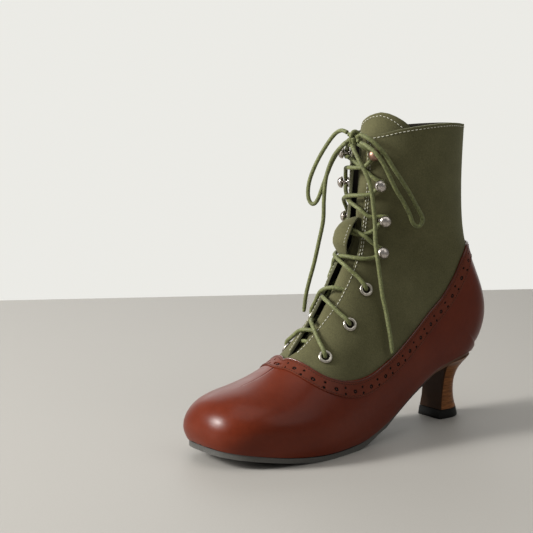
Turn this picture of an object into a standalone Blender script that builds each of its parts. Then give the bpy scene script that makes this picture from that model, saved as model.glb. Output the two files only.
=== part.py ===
"""Lace-up heeled ankle boot, left shoe.

Frame: +X lateral, -X medial, -Y toe, +Y heel, +Z up, origin on the floor under the
middle of the boot.  The tables and the functions work in millimetres, and MM turns
them into metres where a mesh or a curve is made.  The tables count Y and X from a
point SHIFT_Y and SHIFT_X away from the origin, and main() moves everything there.

The last is a family of ribs.  Each rib starts at F on the centre line of the front
(toe, vamp, instep, front of the shaft) and ends at E on the feather edge, or, from
the heel seat upwards, on the centre line of the back.
"""
import math

import bmesh
import bpy
import numpy as np
from mathutils import Matrix, Vector

MM = 0.001

# ------------------------------------------------------------------ named sizes, mm
UPPER_WALL = 1.8          # nubuck and lining together
GALOSH_GAP = 0.72         # clearance between the upper and the brown leather
GALOSH_THICK = 1.1
TONGUE_THICK = 1.5
TONGUE_INSET = 5.6        # tongue's face below the outer face of the facings
INSOLE_THICK = 2.0
INSOLE_INSET = 3.0
GAP = 0.30
LACE_D = 2.8
HEEL_TIP_TOP = 6.5
SHIFT_Y = 4.73            # brings the middle of the boot's length over the origin
SHIFT_X = 0.15
EYELET_OUTER_R = 4.7
EYELET_HOLE_R = 2.4
HOOK_HEAD_R = 4.1
HOOK_NECK_R = 1.5

# ------------------------------------------------------------------ the last
# F front centre line, E edge, cx centre offset (toe swings to the medial side),
# w half width at the edge, W widest half width, sw where along the rib it is widest,
# p and q exponents of the front (A) and the edge (B) quarter of the rib.
# First row: phantom row that gives the toe its tangent.
RIB_COLUMNS = ("Fy", "Fz", "Ey", "Ez", "cx", "w_lat", "w_med", "W_lat", "W_med",
               "sw", "pA", "qA", "pB", "qB")
RIBS = np.array([
    (-121.0,   7.0, -121.4,  12.1, -4.0, -12.0, -12.0, -12.0, -12.0, 0.80, 2.0, 2.0, 2.0, 1.2),
    (-122.5,  12.5, -122.5,  12.5, -4.0,   0.0,   0.0,   0.0,   0.0, 0.80, 2.0, 2.0, 2.0, 1.2),
    (-124.6,  18.0, -121.4,  12.1, -4.0,  11.8,  11.8,  12.0,  12.0, 0.75, 2.0, 2.0, 2.0, 1.2),
    (-124.9,  25.0, -117.5,  11.4, -3.8,  20.0,  20.3,  21.3,  21.8, 0.70, 2.0, 2.0, 2.0, 1.2),
    (-121.8,  32.8, -110.0,  10.0, -3.2,  27.0,  27.0,  29.0,  29.0, 0.64, 2.0, 2.0, 2.0, 1.2),
    (-114.5,  39.2,  -99.0,   8.2, -2.4,  32.0,  31.8,  34.4,  34.2, 0.60, 2.1, 2.0, 2.0, 1.2),
    (-104.0,  43.4,  -86.0,   6.2, -1.6,  35.7,  35.3,  38.2,  37.8, 0.60, 2.1, 2.0, 2.0, 1.2),
    ( -91.0,  46.4,  -71.0,   4.6, -0.8,  38.0,  37.6,  40.7,  40.3, 0.62, 2.0, 1.9, 2.0, 1.2),
    ( -75.5,  51.3,  -54.0,   3.6,  0.0,  38.2,  37.5,  40.8,  40.2, 0.66, 2.0, 1.9, 2.0, 1.2),
    ( -57.0,  60.8,  -35.0,   3.8,  0.0,  35.5,  34.0,  38.5,  38.0, 0.68, 1.9, 1.9, 2.0, 1.2),
    ( -45.0,  71.0,  -16.0,   5.4,  0.0,  31.5,  29.5,  35.5,  35.0, 0.68, 1.9, 1.9, 2.0, 1.2),
    ( -33.0,  85.0,    6.0,  12.5,  0.0,  27.5,  25.5,  32.5,  32.0, 0.69, 1.9, 1.9, 2.0, 1.2),
    ( -24.0,  98.5,   30.0,  27.0,  0.0,  25.0,  23.5,  30.8,  30.3, 0.71, 1.9, 1.9, 2.0, 1.2),
    ( -17.0, 112.0,   54.0,  41.0,  0.0,  24.0,  23.6,  29.2,  29.2, 0.74, 2.0, 2.0, 2.0, 1.2),
    ( -12.0, 122.0,   74.0,  47.0,  0.0,  24.0,  24.0,  28.0,  28.0, 0.76, 2.0, 2.0, 2.0, 1.3),
    (  -9.0, 129.0,   87.5,  48.8,  0.0,  21.5,  21.5,  27.4,  27.4, 0.775, 2.0, 2.0, 2.0, 1.5),
    (  -7.5, 133.0,   96.0,  49.2,  0.0,  16.3,  16.3,  27.1,  27.1, 0.78, 2.0, 2.0, 2.0, 1.7),
    (  -6.3, 136.0,  101.3,  49.4,  0.0,   9.0,   9.0,  27.0,  27.0, 0.783, 2.0, 2.0, 2.05, 1.9),
    (  -5.5, 138.5,  103.3,  49.8,  0.0,   0.0,   0.0,  27.0,  27.0, 0.785, 2.0, 2.0, 2.1, 2.0),
    (  -4.5, 141.5,  111.0,  57.5,  0.0,   0.0,   0.0,  27.0,  27.0, 0.785, 2.0, 2.0, 2.1, 2.0),
    (  -3.6, 146.0,  115.6,  72.0,  0.0,   0.0,   0.0,  27.0,  27.0, 0.775, 2.0, 2.0, 2.1, 2.0),
    (  -2.5, 151.0,  112.2,  87.5,  0.0,   0.0,   0.0,  27.2,  27.2, 0.75, 2.0, 2.0, 2.1, 2.0),
    (  -1.2, 157.5,  104.7, 104.0,  0.0,   0.0,   0.0,  27.8,  27.8, 0.71, 2.0, 2.0, 2.0, 2.0),
    (   0.3, 165.5,   97.0, 121.0,  0.0,   0.0,   0.0,  28.8,  28.8, 0.65, 2.0, 2.0, 2.0, 2.0),
    (   1.8, 176.0,   92.8, 141.0,  0.0,   0.0,   0.0,  29.8,  29.8, 0.58, 2.0, 2.0, 2.0, 2.0),
    (   3.2, 189.5,   91.6, 172.0,  0.0,   0.0,   0.0,  30.6,  30.6, 0.53, 2.0, 2.0, 2.0, 2.0),
    (   4.5, 204.0,   93.3, 210.0,  0.0,   0.0,   0.0,  31.2,  31.2, 0.50, 2.0, 2.0, 2.0, 2.0),
    (   5.8, 219.0,   96.0, 250.0,  0.0,   0.0,   0.0,  31.8,  31.8, 0.48, 2.0, 2.0, 2.0, 2.0),
    (   7.1, 234.0,   98.7, 290.0,  0.0,   0.0,   0.0,  32.4,  32.4, 0.46, 2.0, 2.0, 2.0, 2.0),
])
K_THROAT = 8.0            # rib where the throat opens
K_SEAT = 17.0             # rib that ends at the back of the heel seat
K_COLLAR = 25.0
K_LAST = 26.0

# half opening of the throat, along the surface
THROAT_COLUMNS = ("k", "half_gap")
THROAT = np.array([(8.0, 0.0), (8.4, 3.0), (9.0, 4.6), (10.0, 7.0), (11.0, 9.8),
                   (12.0, 11.3), (14.0, 11.2), (17.0, 10.0), (19.0, 9.0),
                   (21.0, 8.4), (23.0, 8.0), (25.0, 6.0)])

# top line of the brown leather: on the rib k_top at the share u_top of its length,
# joined to the edge at the end of rib k_edge
GALOSH_COLUMNS = ("k_edge", "k_top", "u_top")
GALOSH = np.array([
    (0.22, 0.22, 0.0), (0.5, 0.5, 0.0), (1.0, 1.0, 0.0), (1.5, 1.5, 0.0), (2.0, 2.0, 0.0),
    (2.5, 2.5, 0.0), (3.0, 3.0, 0.0), (3.5, 3.5, 0.0), (4.0, 4.0, 0.0), (4.7, 4.7, 0.0),
    (5.4, 5.4, 0.0), (6.1, 6.1, 0.0), (6.8, 6.8, 0.0), (7.35, 7.4, 0.0), (7.6, 7.75, 0.0), (7.75, 7.92, 0.02),
    (7.85, 7.96, 0.05), (8.0, 8.0, 0.10), (8.15, 8.03, 0.15), (8.3, 8.07, 0.20),
    (8.45, 8.12, 0.26), (8.6, 8.2, 0.32), (8.8, 8.35, 0.37), (9.0, 8.55, 0.41),
    (9.3, 9.0, 0.48), (9.6, 9.5, 0.54), (10.0, 10.0, 0.58), (10.5, 10.5, 0.605),
    (11.0, 11.0, 0.625), (11.5, 11.5, 0.637), (12.0, 12.0, 0.638), (12.5, 12.5, 0.629),
    (13.0, 13.0, 0.615), (14.0, 14.0, 0.586), (15.0, 15.0, 0.563), (15.5, 15.5, 0.554),
    (16.0, 16.0, 0.546), (16.3, 16.3, 0.542),
    (16.6, 16.6, 0.538), (16.9, 16.9, 0.534),
    (17.2, 17.2, 0.532), (18.0, 18.0, 0.530), (19.0, 19.0, 0.555), (20.0, 20.0, 0.605), (20.5, 20.5, 0.630), (21.0, 21.0, 0.655), (21.5, 21.5, 0.690),
    (21.75, 21.75, 0.725), (21.95, 21.95, 0.770), (22.1, 22.1, 0.820), (22.22, 22.22, 0.875),
    (22.32, 22.32, 0.935), (22.4, 22.4, 1.0)])

# the leather's lower edge stops this far short of the feather edge, so that its
# thickness clears the sole: rib, distance
TURN_COLUMNS = ("k_edge", "short_by")
TURN = np.array([(0.0, 0.2), (0.5, 1.1), (9.0, 1.1), (12.0, 1.2), (14.0, 1.6), (15.0, 2.3),
                 (16.0, 2.8), (16.9, 2.8), (17.2, 0.0), (22.4, 0.0)])

# sole: underside height and how far it stands out of the feather edge
SOLE_COLUMNS = ("k", "z_under", "margin")
SOLE = np.array([(0.0, 8.6, 1.5), (1.0, 8.2, 1.5), (2.0, 7.5, 1.5), (3.0, 6.2, 1.5),
                 (4.0, 4.5, 1.5), (5.0, 2.6, 1.5), (6.0, 0.9, 1.5), (6.6, 0.0, 1.5),
                 (8.6, 0.0, 1.5), (9.0, 1.2, 1.4), (10.0, 9.2, 0.9), (11.0, 24.4, 0.5),
                 (12.0, 38.6, 0.3), (13.0, 44.6, 0.2), (14.0, 46.4, 0.2),
                 (15.0, 46.8, 0.2), (17.0, 47.2, 0.2)])

# heel: level, breast (front), back and half width, from the seat down to the top piece
HEEL_COLUMNS = ("z", "y_breast", "y_back", "half_width", "corner")
HEEL = np.array([(46.0, 69.5, 102.9, 23.7, 0.98), (43.0, 72.0, 101.0, 20.8, 0.97),
                 (39.5, 74.0, 98.3, 17.4, 0.96), (35.0, 75.6, 95.3, 14.4, 0.95),
                 (29.0, 76.4, 93.4, 12.2, 0.94), (22.0, 76.3, 92.9, 11.1, 0.94),
                 (15.0, 75.7, 93.7, 10.9, 0.94), (10.0, 75.0, 95.0, 11.3, 0.94),
                 (6.8, 74.6, 96.3, 11.7, 0.94)])

# tongue: rib, half width along the surface, depth below the facings' outer face
TONGUE_COLUMNS = ("k", "half_width", "inset")
TONGUE = np.array([(7.2, 9.0, 2.6), (8.0, 14.0, 4.6), (9.0, 19.0, 5.6), (10.0, 22.0, 5.6),
                   (12.0, 24.0, 5.6), (16.0, 25.0, 5.6), (20.0, 25.0, 5.6),
                   (23.0, 25.5, 5.6), (24.0, 26.0, 5.8), (25.0, 26.0, 6.4),
                   (26.0, 26.0, 7.6)])
# its rounded top: distance from the centre line, rib; it slopes down far round the
# lateral side, where it slips behind the collar
TONGUE_TOP_COLUMNS = ("arc", "k")
TONGUE_TOP = np.array([(-26.0, 24.9), (-20.0, 25.25), (-12.0, 25.6), (-5.2, 25.8),
                       (0.0, 25.93), (6.0, 26.0), (12.8, 26.0), (20.0, 25.86),
                       (26.3, 25.67), (32.9, 25.44), (38.7, 25.21), (41.0, 24.9)])
TONGUE_WIDER = (23.2, 24.6, 15.0)   # between these ribs its lateral half grows by this

# eyelets (1 to 3) and hooks (4 to 7): rib and distance from the centre line
LACE_COLUMNS = ("k", "arc")
LACE_STATIONS = [(9.0, 22.4), (10.6, 24.6), (12.2, 25.2), (17.0, 26.5), (20.7, 23.5),
                 (22.9, 18.5), (24.2, 14.0)]

KNOT_CENTRE = (2.5, -1.8, 203.0)
KNOT_RADII = (4.0, 4.0, 5.0)

# routes of the loose cord, x y z in mm, from the knot outwards
ROUTE_COLUMNS = ("x", "y", "z")
ROUTE_LOOP_LEFT = [(-2.6, -4.2, 206.3), (-7.5, -5.2, 207.6), (-13.7, -7.1, 203.6),
                   (-22.3, -11.2, 189.9), (-28.3, -14.1, 176.1), (-30.2, -15.0, 166.5),
                   (-29.5, -14.7, 159.7), (-26.8, -13.4, 156.7), (-23.5, -11.8, 160.6),
                   (-18.9, -9.6, 173.8), (-14.3, -7.4, 186.1), (-7.6, -4.4, 197.1),
                   (-3.0, -2.6, 200.9)]
ROUTE_END_LEFT = [(-1.5, -6.2, 199.5), (-5.3, -7.6, 196.4), (-10.2, -9.2, 190.6),
                  (-13.7, -10.8, 182.2), (-15.7, -11.7, 174.0), (-16.8, -12.2, 160.4),
                  (-17.5, -12.1, 146.6), (-21.3, -12.7, 131.4), (-25.0, -13.6, 116.7),
                  (-28.6, -14.6, 104.8), (-31.4, -15.4, 94.0), (-33.4, -15.6, 82.0)]
ROUTE_LOOP_RIGHT = [(8.4, -2.6, 205.6), (14.2, -0.7, 203.2), (17.9, 1.9, 199.9),
                    (22.0, 7.0, 192.9), (25.0, 12.1, 183.7), (27.4, 17.4, 175.5),
                    (29.2, 23.0, 167.1), (30.2, 28.0, 159.0), (30.9, 32.6, 152.0),
                    (30.9, 35.3, 147.6), (30.2, 34.0, 145.0), (29.4, 30.6, 147.6),
                    (28.2, 24.8, 153.4), (27.4, 18.8, 161.6), (26.7, 13.4, 169.0),
                    (25.6, 8.0, 178.8), (25.0, 3.8, 186.0), (22.0, -0.7, 193.6),
                    (16.0, -3.0, 198.0), (10.0, -3.4, 200.0)]
ROUTE_END_RIGHT = [(4.2, -6.4, 198.2), (8.2, -7.2, 194.6), (12.6, -6.6, 188.0),
                   (16.6, -4.4, 180.0), (18.8, -2.0, 171.0), (19.7, -0.4, 158.6),
                   (20.4, 0.6, 146.0), (21.6, 0.2, 134.3), (23.4, 0.6, 123.3),
                   (24.6, 2.0, 110.9), (26.2, 2.9, 98.7), (28.2, 4.3, 88.7),
                   (30.2, 4.5, 80.7), (32.4, 4.9, 71.1), (34.2, 5.0, 61.0)]

# ------------------------------------------------------------------ colours
MATERIALS = {
    # name: (red, green, blue, roughness, metallic)
    "olive_nubuck": (0.085, 0.090, 0.045, 0.85, 0.0),
    "brown_leather": (0.150, 0.035, 0.014, 0.30, 0.0),
    "sole_rubber": (0.060, 0.055, 0.050, 0.60, 0.0),
    "stacked_wood": (0.200, 0.075, 0.025, 0.40, 0.0),
    "top_piece": (0.012, 0.012, 0.012, 0.50, 0.0),
    "dark_lining": (0.030, 0.026, 0.020, 0.80, 0.0),
    "hardware": (0.450, 0.420, 0.380, 0.30, 1.0),
    "lace": (0.130, 0.165, 0.050, 0.60, 0.0),
}


# ------------------------------------------------------------------ functions of the last
def table_at(table, k, column):
    return float(np.interp(k, table[:, 0], table[:, column]))


def rib_row(k):
    """Catmull-Rom through the rib table; k = 0 is the toe's edge."""
    k = min(max(float(k), 0.0), K_LAST)
    i = min(int(math.floor(k)), int(K_LAST) - 1)
    t = k - i
    p0, p1, p2, p3 = RIBS[i], RIBS[i + 1], RIBS[i + 2], RIBS[i + 3]
    return 0.5 * (2 * p1 + (p2 - p0) * t + (2 * p0 - 5 * p1 + 4 * p2 - p3) * t * t
                  + (3 * p1 - p0 - 3 * p2 + p3) * t ** 3)


RIB_CACHE = {}


def rib_line(k, side):
    """The rib as a dense line with its running length; side is +1 lateral, -1 medial."""
    key = (round(float(k), 5), side)
    if key in RIB_CACHE:
        return RIB_CACHE[key]
    fy, fz, ey, ez, cx, wl, wm, bl, bm, sw, pa, qa, pb, qb = rib_row(k)
    w, wide = (wl, bl) if side > 0 else (wm, bm)
    w = max(w, 0.0)
    wide = max(wide, w)
    span = np.array([0.0, ey - fy, ez - fz])
    length = float(np.linalg.norm(span))
    along = span / length if length > 1e-9 else np.array([0.0, 0.0, -1.0])
    angle = np.linspace(0.0, math.pi / 2, 160)
    c = np.clip(np.cos(angle), 0, 1) ** (2 / pa)
    a_front = sw * length * (1 - c)
    r_front = wide * (1 - c ** pa) ** (1 / qa)
    s = np.sin(angle) ** (2 / pb)
    a_edge = sw * length + (1 - sw) * length * s
    r_edge = w + (wide - w) * np.maximum(1 - s ** pb, 0) ** (1 / qb)
    a = np.concatenate([a_front, a_edge[1:]])
    r = np.concatenate([r_front, r_edge[1:]])
    line = np.array([cx, fy, fz]) + a[:, None] * along + side * r[:, None] * np.array([1.0, 0, 0])
    run = np.concatenate([[0.0], np.cumsum(np.linalg.norm(np.diff(line, axis=0), axis=1))])
    RIB_CACHE[key] = (line, run)
    return RIB_CACHE[key]


def on_rib(k, side, u):
    """Point at the share u of the rib's length."""
    line, run = rib_line(k, side)
    d = min(max(u, 0.0), 1.0) * run[-1]
    return np.array([np.interp(d, run, line[:, j]) for j in range(3)])


def at_arc(k, arc):
    """Point at a distance from the centre line, + lateral, - medial."""
    side = 1 if arc >= 0 else -1
    line, run = rib_line(k, side)
    d = min(abs(arc), run[-1])
    return np.array([np.interp(d, run, line[:, j]) for j in range(3)])


def outward(k, arc):
    """Unit normal of the last, pointing out."""
    a = at_arc(min(k + 0.15, K_LAST), arc) - at_arc(max(k - 0.15, 0.0), arc)
    b = at_arc(k, arc + 1.2) - at_arc(k, arc - 1.2)
    n = np.cross(b, a)
    return n / max(np.linalg.norm(n), 1e-9)


def lifted(k, arc, height):
    return at_arc(k, arc) + outward(k, arc) * height


def front_point(x, z, height):
    """Point of the front at a given x and z, lifted off the last."""
    lo, hi = 6.0, K_LAST
    side = 1 if x >= 0 else -1
    for _ in range(40):
        k = 0.5 * (lo + hi)
        line, run = rib_line(k, side)
        top = int(np.argmax(np.abs(line[:, 0])))
        d = np.interp(abs(x), np.abs(line[:top, 0]), run[:top])
        if at_arc(k, side * d)[2] < z:
            lo = k
        else:
            hi = k
    return lifted(k, side * d, height)


# ------------------------------------------------------------------ Blender helpers
def clear_scene():
    for ob in list(bpy.data.objects):
        bpy.data.objects.remove(ob, do_unlink=True)


def make_material(name):
    r, g, b, rough, metal = MATERIALS[name]
    mat = bpy.data.materials.new(name)
    mat.use_nodes = True
    bsdf = mat.node_tree.nodes["Principled BSDF"]
    bsdf.inputs["Base Color"].default_value = (r, g, b, 1)
    bsdf.inputs["Roughness"].default_value = rough
    bsdf.inputs["Metallic"].default_value = metal
    mat.diffuse_color = (r, g, b, 1)
    return mat


PART = None
MATS = {}


def add_object(name, data, material):
    ob = bpy.data.objects.new(name, data)
    data.materials.append(MATS[material])
    PART.objects.link(ob)
    return ob


def mesh_from_rows(name, halves, material, closed=False):
    """Join rows of points into one quad sheet.  Points that coincide become one."""
    bm = bmesh.new()
    index = {}

    def vert(p):
        key = (round(float(p[0]), 3), round(float(p[1]), 3), round(float(p[2]), 3))
        if key not in index:
            index[key] = bm.verts.new((p[0] * MM, p[1] * MM, p[2] * MM))
        return index[key]

    for rows in halves:
        for i in range(len(rows) - 1):
            for j in range(len(rows[i]) - 1):
                ring = [vert(rows[i][j]), vert(rows[i][j + 1]),
                        vert(rows[i + 1][j + 1]), vert(rows[i + 1][j])]
                face = []
                for v in ring:
                    if v not in face:
                        face.append(v)
                if len(face) >= 3 and bm.faces.get(face) is None:
                    bm.faces.new(face)
    bmesh.ops.recalc_face_normals(bm, faces=bm.faces)
    mesh = bpy.data.meshes.new(name)
    bm.to_mesh(mesh)
    bm.free()
    return add_object(name, mesh, material)


def face_outward(ob, inside):
    """Turn an open sheet so that its normals point away from a point inside it."""
    mesh = ob.data
    total = 0.0
    c = Vector(inside) * MM
    for poly in mesh.polygons:
        total += poly.area * poly.normal.dot((poly.center - c).normalized())
    if total < 0:
        mesh.flip_normals()


def push_along_normals(ob, distance):
    bm = bmesh.new()
    bm.from_mesh(ob.data)
    bm.normal_update()
    for v in bm.verts:
        v.co += v.normal * distance * MM
    bm.to_mesh(ob.data)
    bm.free()


def solidify(ob, thickness, outwards):
    mod = ob.modifiers.new("thickness", "SOLIDIFY")
    mod.thickness = thickness * MM
    mod.offset = 1.0 if outwards else -1.0
    mod.use_rim = True
    mod.use_quality_normals = True


def smooth(ob, degrees=35):
    ob.data.shade_smooth()
    ob.data.set_sharp_from_angle(angle=math.radians(degrees))


def catmull(points, per_span):
    """Smooth curve through route points."""
    p = [np.array(q, float) for q in points]
    p = [2 * p[0] - p[1]] + p + [2 * p[-1] - p[-2]]
    out = []
    for i in range(1, len(p) - 2):
        for s in range(per_span):
            t = s / per_span
            out.append(0.5 * (2 * p[i] + (p[i + 1] - p[i - 1]) * t
                              + (2 * p[i - 1] - 5 * p[i] + 4 * p[i + 1] - p[i + 2]) * t * t
                              + (3 * p[i] - p[i - 1] - 3 * p[i + 1] + p[i + 2]) * t ** 3))
    out.append(p[-2])
    return out


def resample(points, count):
    pts = np.array(points)
    run = np.concatenate([[0.0], np.cumsum(np.linalg.norm(np.diff(pts, axis=0), axis=1))])
    return [np.array([np.interp(d, run, pts[:, j]) for j in range(3)])
            for d in np.linspace(0, run[-1], count)]


def cord(name, route, count, diameter=LACE_D):
    """A tube with filled ends along a smooth curve through the route."""
    pts = resample(catmull(route, 10), count)
    data = bpy.data.curves.new(name, "CURVE")
    data.dimensions = "3D"
    data.bevel_depth = diameter / 2 * MM
    data.bevel_resolution = 2
    data.use_fill_caps = True
    spline = data.splines.new("POLY")
    spline.points.add(count - 1)
    for point, co in zip(spline.points, pts):
        point.co = (co[0] * MM, co[1] * MM, co[2] * MM, 1)
    return add_object(name, data, "lace")


def curve_to_mesh(ob):
    """Replace a curve object by a welded mesh of the same name."""
    name = ob.name
    deps = bpy.context.evaluated_depsgraph_get()
    mesh = bpy.data.meshes.new_from_object(ob.evaluated_get(deps))
    bm = bmesh.new()
    bm.from_mesh(mesh)
    bmesh.ops.remove_doubles(bm, verts=bm.verts, dist=0.00001)
    bmesh.ops.recalc_face_normals(bm, faces=bm.faces)
    bm.to_mesh(mesh)
    bm.free()
    new = bpy.data.objects.new(name + "_mesh", mesh)
    new.matrix_world = ob.matrix_world
    if not mesh.materials:
        mesh.materials.append(MATS["lace"])
    PART.objects.link(new)
    bpy.data.objects.remove(ob, do_unlink=True)
    new.name = name
    return new


def turned(name, profile, steps, origin, normal, material, spin=0.0):
    """Turn a profile (r, z) about an axis through origin along normal."""
    mesh = bpy.data.meshes.new(name)
    n = len(profile)
    ring = profile[0][0] > 1e-6 and profile[-1][0] > 1e-6
    edges = [(i, i + 1) for i in range(n - 1)] + ([(n - 1, 0)] if ring else [])
    mesh.from_pydata([(r * MM, 0.0, z * MM) for r, z in profile], edges, [])
    ob = add_object(name, mesh, material)
    mod = ob.modifiers.new("turn", "SCREW")
    mod.axis = "Z"
    mod.steps = steps
    mod.render_steps = steps
    mod.use_merge_vertices = True
    mod.merge_threshold = 0.00001
    turn = Vector((0, 0, 1)).rotation_difference(Vector(normal)).to_matrix().to_4x4()
    place = Matrix.Translation(Vector(origin) * MM)
    ob.matrix_world = place @ turn @ Matrix.Rotation(spin, 4, "Z")
    return ob


# ------------------------------------------------------------------ upper, galosh, tongue
LIFT_COLUMNS = ("share", "ribs")   # how far the lateral collar stands above the medial one
LIFT = np.array([(0.06, 0.0), (0.156, 0.10), (0.238, 0.19), (0.325, 0.21), (0.419, 0.20),
                 (0.5, 0.18), (0.58, 0.15), (0.656, 0.11), (0.75, 0.05), (0.86, 0.0)])


def collar_lift(k, side, u):
    """The lateral side of the collar stands a little higher than the medial one."""
    if side < 0 or k <= 23.0:
        return 0.0
    return (k - 23.0) / 2.0 * table_at(LIFT, u, 1)


def build_upper():
    ks = [0, 0.5, 1, 1.5, 2, 2.5, 3, 3.5, 4, 4.7, 5.4, 6.1, 6.8, 7.4, 7.75, 8.0, 8.25,
          8.6, 9, 9.5, 10, 10.5, 11, 11.5, 12, 12.5, 13, 14, 15, 15.5,
          16, 16.3, 16.6, 16.9, 17.2, 18, 19, 20, 20.5, 21, 21.5, 22, 22.4, 23, 24, 25]
    halves = []
    for side in (-1, 1):
        rows = []
        for k in ks:
            length = rib_line(k, side)[1][-1]
            start = 0.0 if k <= K_THROAT else table_at(THROAT, k, 1) / length
            row = []
            for j in range(11):
                u = start + (1 - start) * j / 10
                row.append(on_rib(k + collar_lift(k, side, u), side, u))
            rows.append(row)
        halves.append(rows)
    ob = mesh_from_rows("upper", halves, "olive_nubuck")
    face_outward(ob, (0, 0, 60))
    solidify(ob, UPPER_WALL, False)
    smooth(ob)
    return ob


def build_galosh():
    halves = []
    for side in (-1, 1):
        rows = []
        for k_edge, k_top, u_top in GALOSH:
            row = []
            for j in range(9):
                v = j / 8
                k = k_top + (k_edge - k_top) * v
                length = max(rib_line(k_edge, side)[1][-1], 1e-6)
                end = 1 - min(table_at(TURN, k_edge, 1) / length, 0.5)
                row.append(on_rib(k, side, u_top + (end - u_top) * v))
            rows.append(row)
        halves.append(rows)
    ob = mesh_from_rows("galosh", halves, "brown_leather")
    face_outward(ob, (0, 0, 40))
    push_along_normals(ob, GALOSH_GAP)
    solidify(ob, GALOSH_THICK, True)
    smooth(ob)
    return ob


def tongue_half(k, share):
    half = table_at(TONGUE, k, 1)
    k0, k1, more = TONGUE_WIDER
    t = min(max((k - k0) / (k1 - k0), 0.0), 1.0)
    return half + (more * t * t * (3 - 2 * t) if share > 0 else 0.0)


def tongue_point(k, share):
    half = tongue_half(k, share)
    return lifted(k, share * half, -table_at(TONGUE, k, 2))


def build_tongue():
    shares = [-1, -0.85, -0.65, -0.4, -0.2, 0, 0.2, 0.4, 0.6, 0.8, 0.92, 1]
    steps = [7.2, 8, 9, 10, 11, 12.3, 14, 17, 20, 22, 23.2, 24.1]
    rows = []
    for k in steps:
        rows.append([tongue_point(k, s) for s in shares])
    for lift in (0.35, 0.7, 0.9, 1.0):
        row = []
        for s in shares:
            top = table_at(TONGUE_TOP, s * tongue_half(26.0, s), 1)
            row.append(tongue_point(24.1 + (top - 24.1) * lift, s))
        rows.append(row)
    ob = mesh_from_rows("tongue", [rows], "olive_nubuck")
    face_outward(ob, (0, 60, 120))
    solidify(ob, TONGUE_THICK, False)
    smooth(ob)
    return ob


KEEPER_K0, KEEPER_K1, KEEPER_HALF, KEEPER_RISE, KEEPER_THICK = 13.3, 19.8, 5.6, 11.0, 1.2
KEEPER_ARC = -1.6         # it sits a little to the medial side


def build_keeper():
    """Strap loop on the tongue, arched so that the lace passes under it."""
    rows = []
    for i in range(11):
        t = i / 10
        k = KEEPER_K0 + (KEEPER_K1 - KEEPER_K0) * t
        inset = table_at(TONGUE, k, 2)
        rise = KEEPER_RISE * (1 - abs(2 * t - 1) ** 4)
        rows.append([lifted(k, KEEPER_ARC + KEEPER_HALF * s, -inset + GAP + rise)
                     for s in (-1, -0.5, 0, 0.5, 1)])
    ob = mesh_from_rows("lace_keeper", [rows], "olive_nubuck")
    face_outward(ob, (0, 60, 120))
    solidify(ob, KEEPER_THICK, True)
    smooth(ob)
    return ob


# ------------------------------------------------------------------ sole, insole
def sole_outline(ks, margin_of):
    """Feather edge moved out (or in) by a margin: lateral and medial points for each rib."""
    lat = [on_rib(k, 1, 1.0) for k in ks]
    med = [on_rib(k, -1, 1.0) for k in ks]
    loop = lat + med[-2:0:-1]
    margins = [margin_of(k) for k in ks] + [margin_of(k) for k in ks[-2:0:-1]]
    n = len(loop)
    moved = []
    for i, (p, m) in enumerate(zip(loop, margins)):
        t = loop[(i + 1) % n][:2] - loop[i - 1][:2]
        t = t / np.linalg.norm(t)
        moved.append(np.array([p[0] + t[1] * m, p[1] - t[0] * m, p[2]]))
    lat2 = moved[:len(ks)]
    med2 = [moved[0]] + [moved[n - i] for i in range(1, len(ks) - 1)] + [lat2[-1]]
    return lat2, med2


def plate(name, ks, lat, med, z_top, z_under, material):
    """Closed solid between two outlines that share their ends."""
    bm = bmesh.new()

    def ring(z_of):
        left, right = [], []
        for i, k in enumerate(ks):
            z = z_of(k)
            left.append(bm.verts.new((lat[i][0] * MM, lat[i][1] * MM, z * MM)))
            if i in (0, len(ks) - 1):
                right.append(left[-1])
            else:
                right.append(bm.verts.new((med[i][0] * MM, med[i][1] * MM, z * MM)))
        return left, right

    tl, tr = ring(z_top)
    ul, ur = ring(z_under)

    def face(*verts):
        unique = []
        for v in verts:
            if v not in unique:
                unique.append(v)
        if len(unique) > 2:
            bm.faces.new(unique)

    for i in range(len(ks) - 1):
        face(tl[i], tl[i + 1], tr[i + 1], tr[i])
        face(ul[i], ur[i], ur[i + 1], ul[i + 1])
        face(tl[i], ul[i], ul[i + 1], tl[i + 1])
        face(tr[i], tr[i + 1], ur[i + 1], ur[i])
    bmesh.ops.recalc_face_normals(bm, faces=bm.faces)
    mesh = bpy.data.meshes.new(name)
    bm.to_mesh(mesh)
    bm.free()
    ob = add_object(name, mesh, material)
    smooth(ob, 30)
    return ob


SOLE_KS = [0, 0.4, 0.8, 1.2, 1.6, 2, 2.5, 3, 3.5, 4, 4.5, 5, 5.5, 6, 6.6, 7.3, 8, 8.6, 9,
           9.5, 10, 10.5, 11, 11.5, 12, 12.5, 13, 13.5, 14, 14.5, 15, 15.5, 16, 16.5, 17]


def edge_z(k):
    return float(rib_row(k)[3])


def build_sole():
    lat, med = sole_outline(SOLE_KS, lambda k: table_at(SOLE, k, 2))
    return plate("outsole", SOLE_KS, lat, med,
                 lambda k: edge_z(k) - GAP - 0.4 * min(max(k - 15.0, 0.0), 1.0),
                 lambda k: table_at(SOLE, k, 1), "sole_rubber")


def build_insole():
    lat, med = sole_outline(SOLE_KS, lambda k: -INSOLE_INSET)
    return plate("insole", SOLE_KS, lat, med, lambda k: edge_z(k) + INSOLE_THICK,
                 lambda k: edge_z(k), "dark_lining")


def under_sole(y):
    ys = [float(rib_row(k)[2]) for k in SOLE_KS]
    zs = [table_at(SOLE, k, 1) for k in SOLE_KS]
    return float(np.interp(y, ys, zs))


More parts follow.
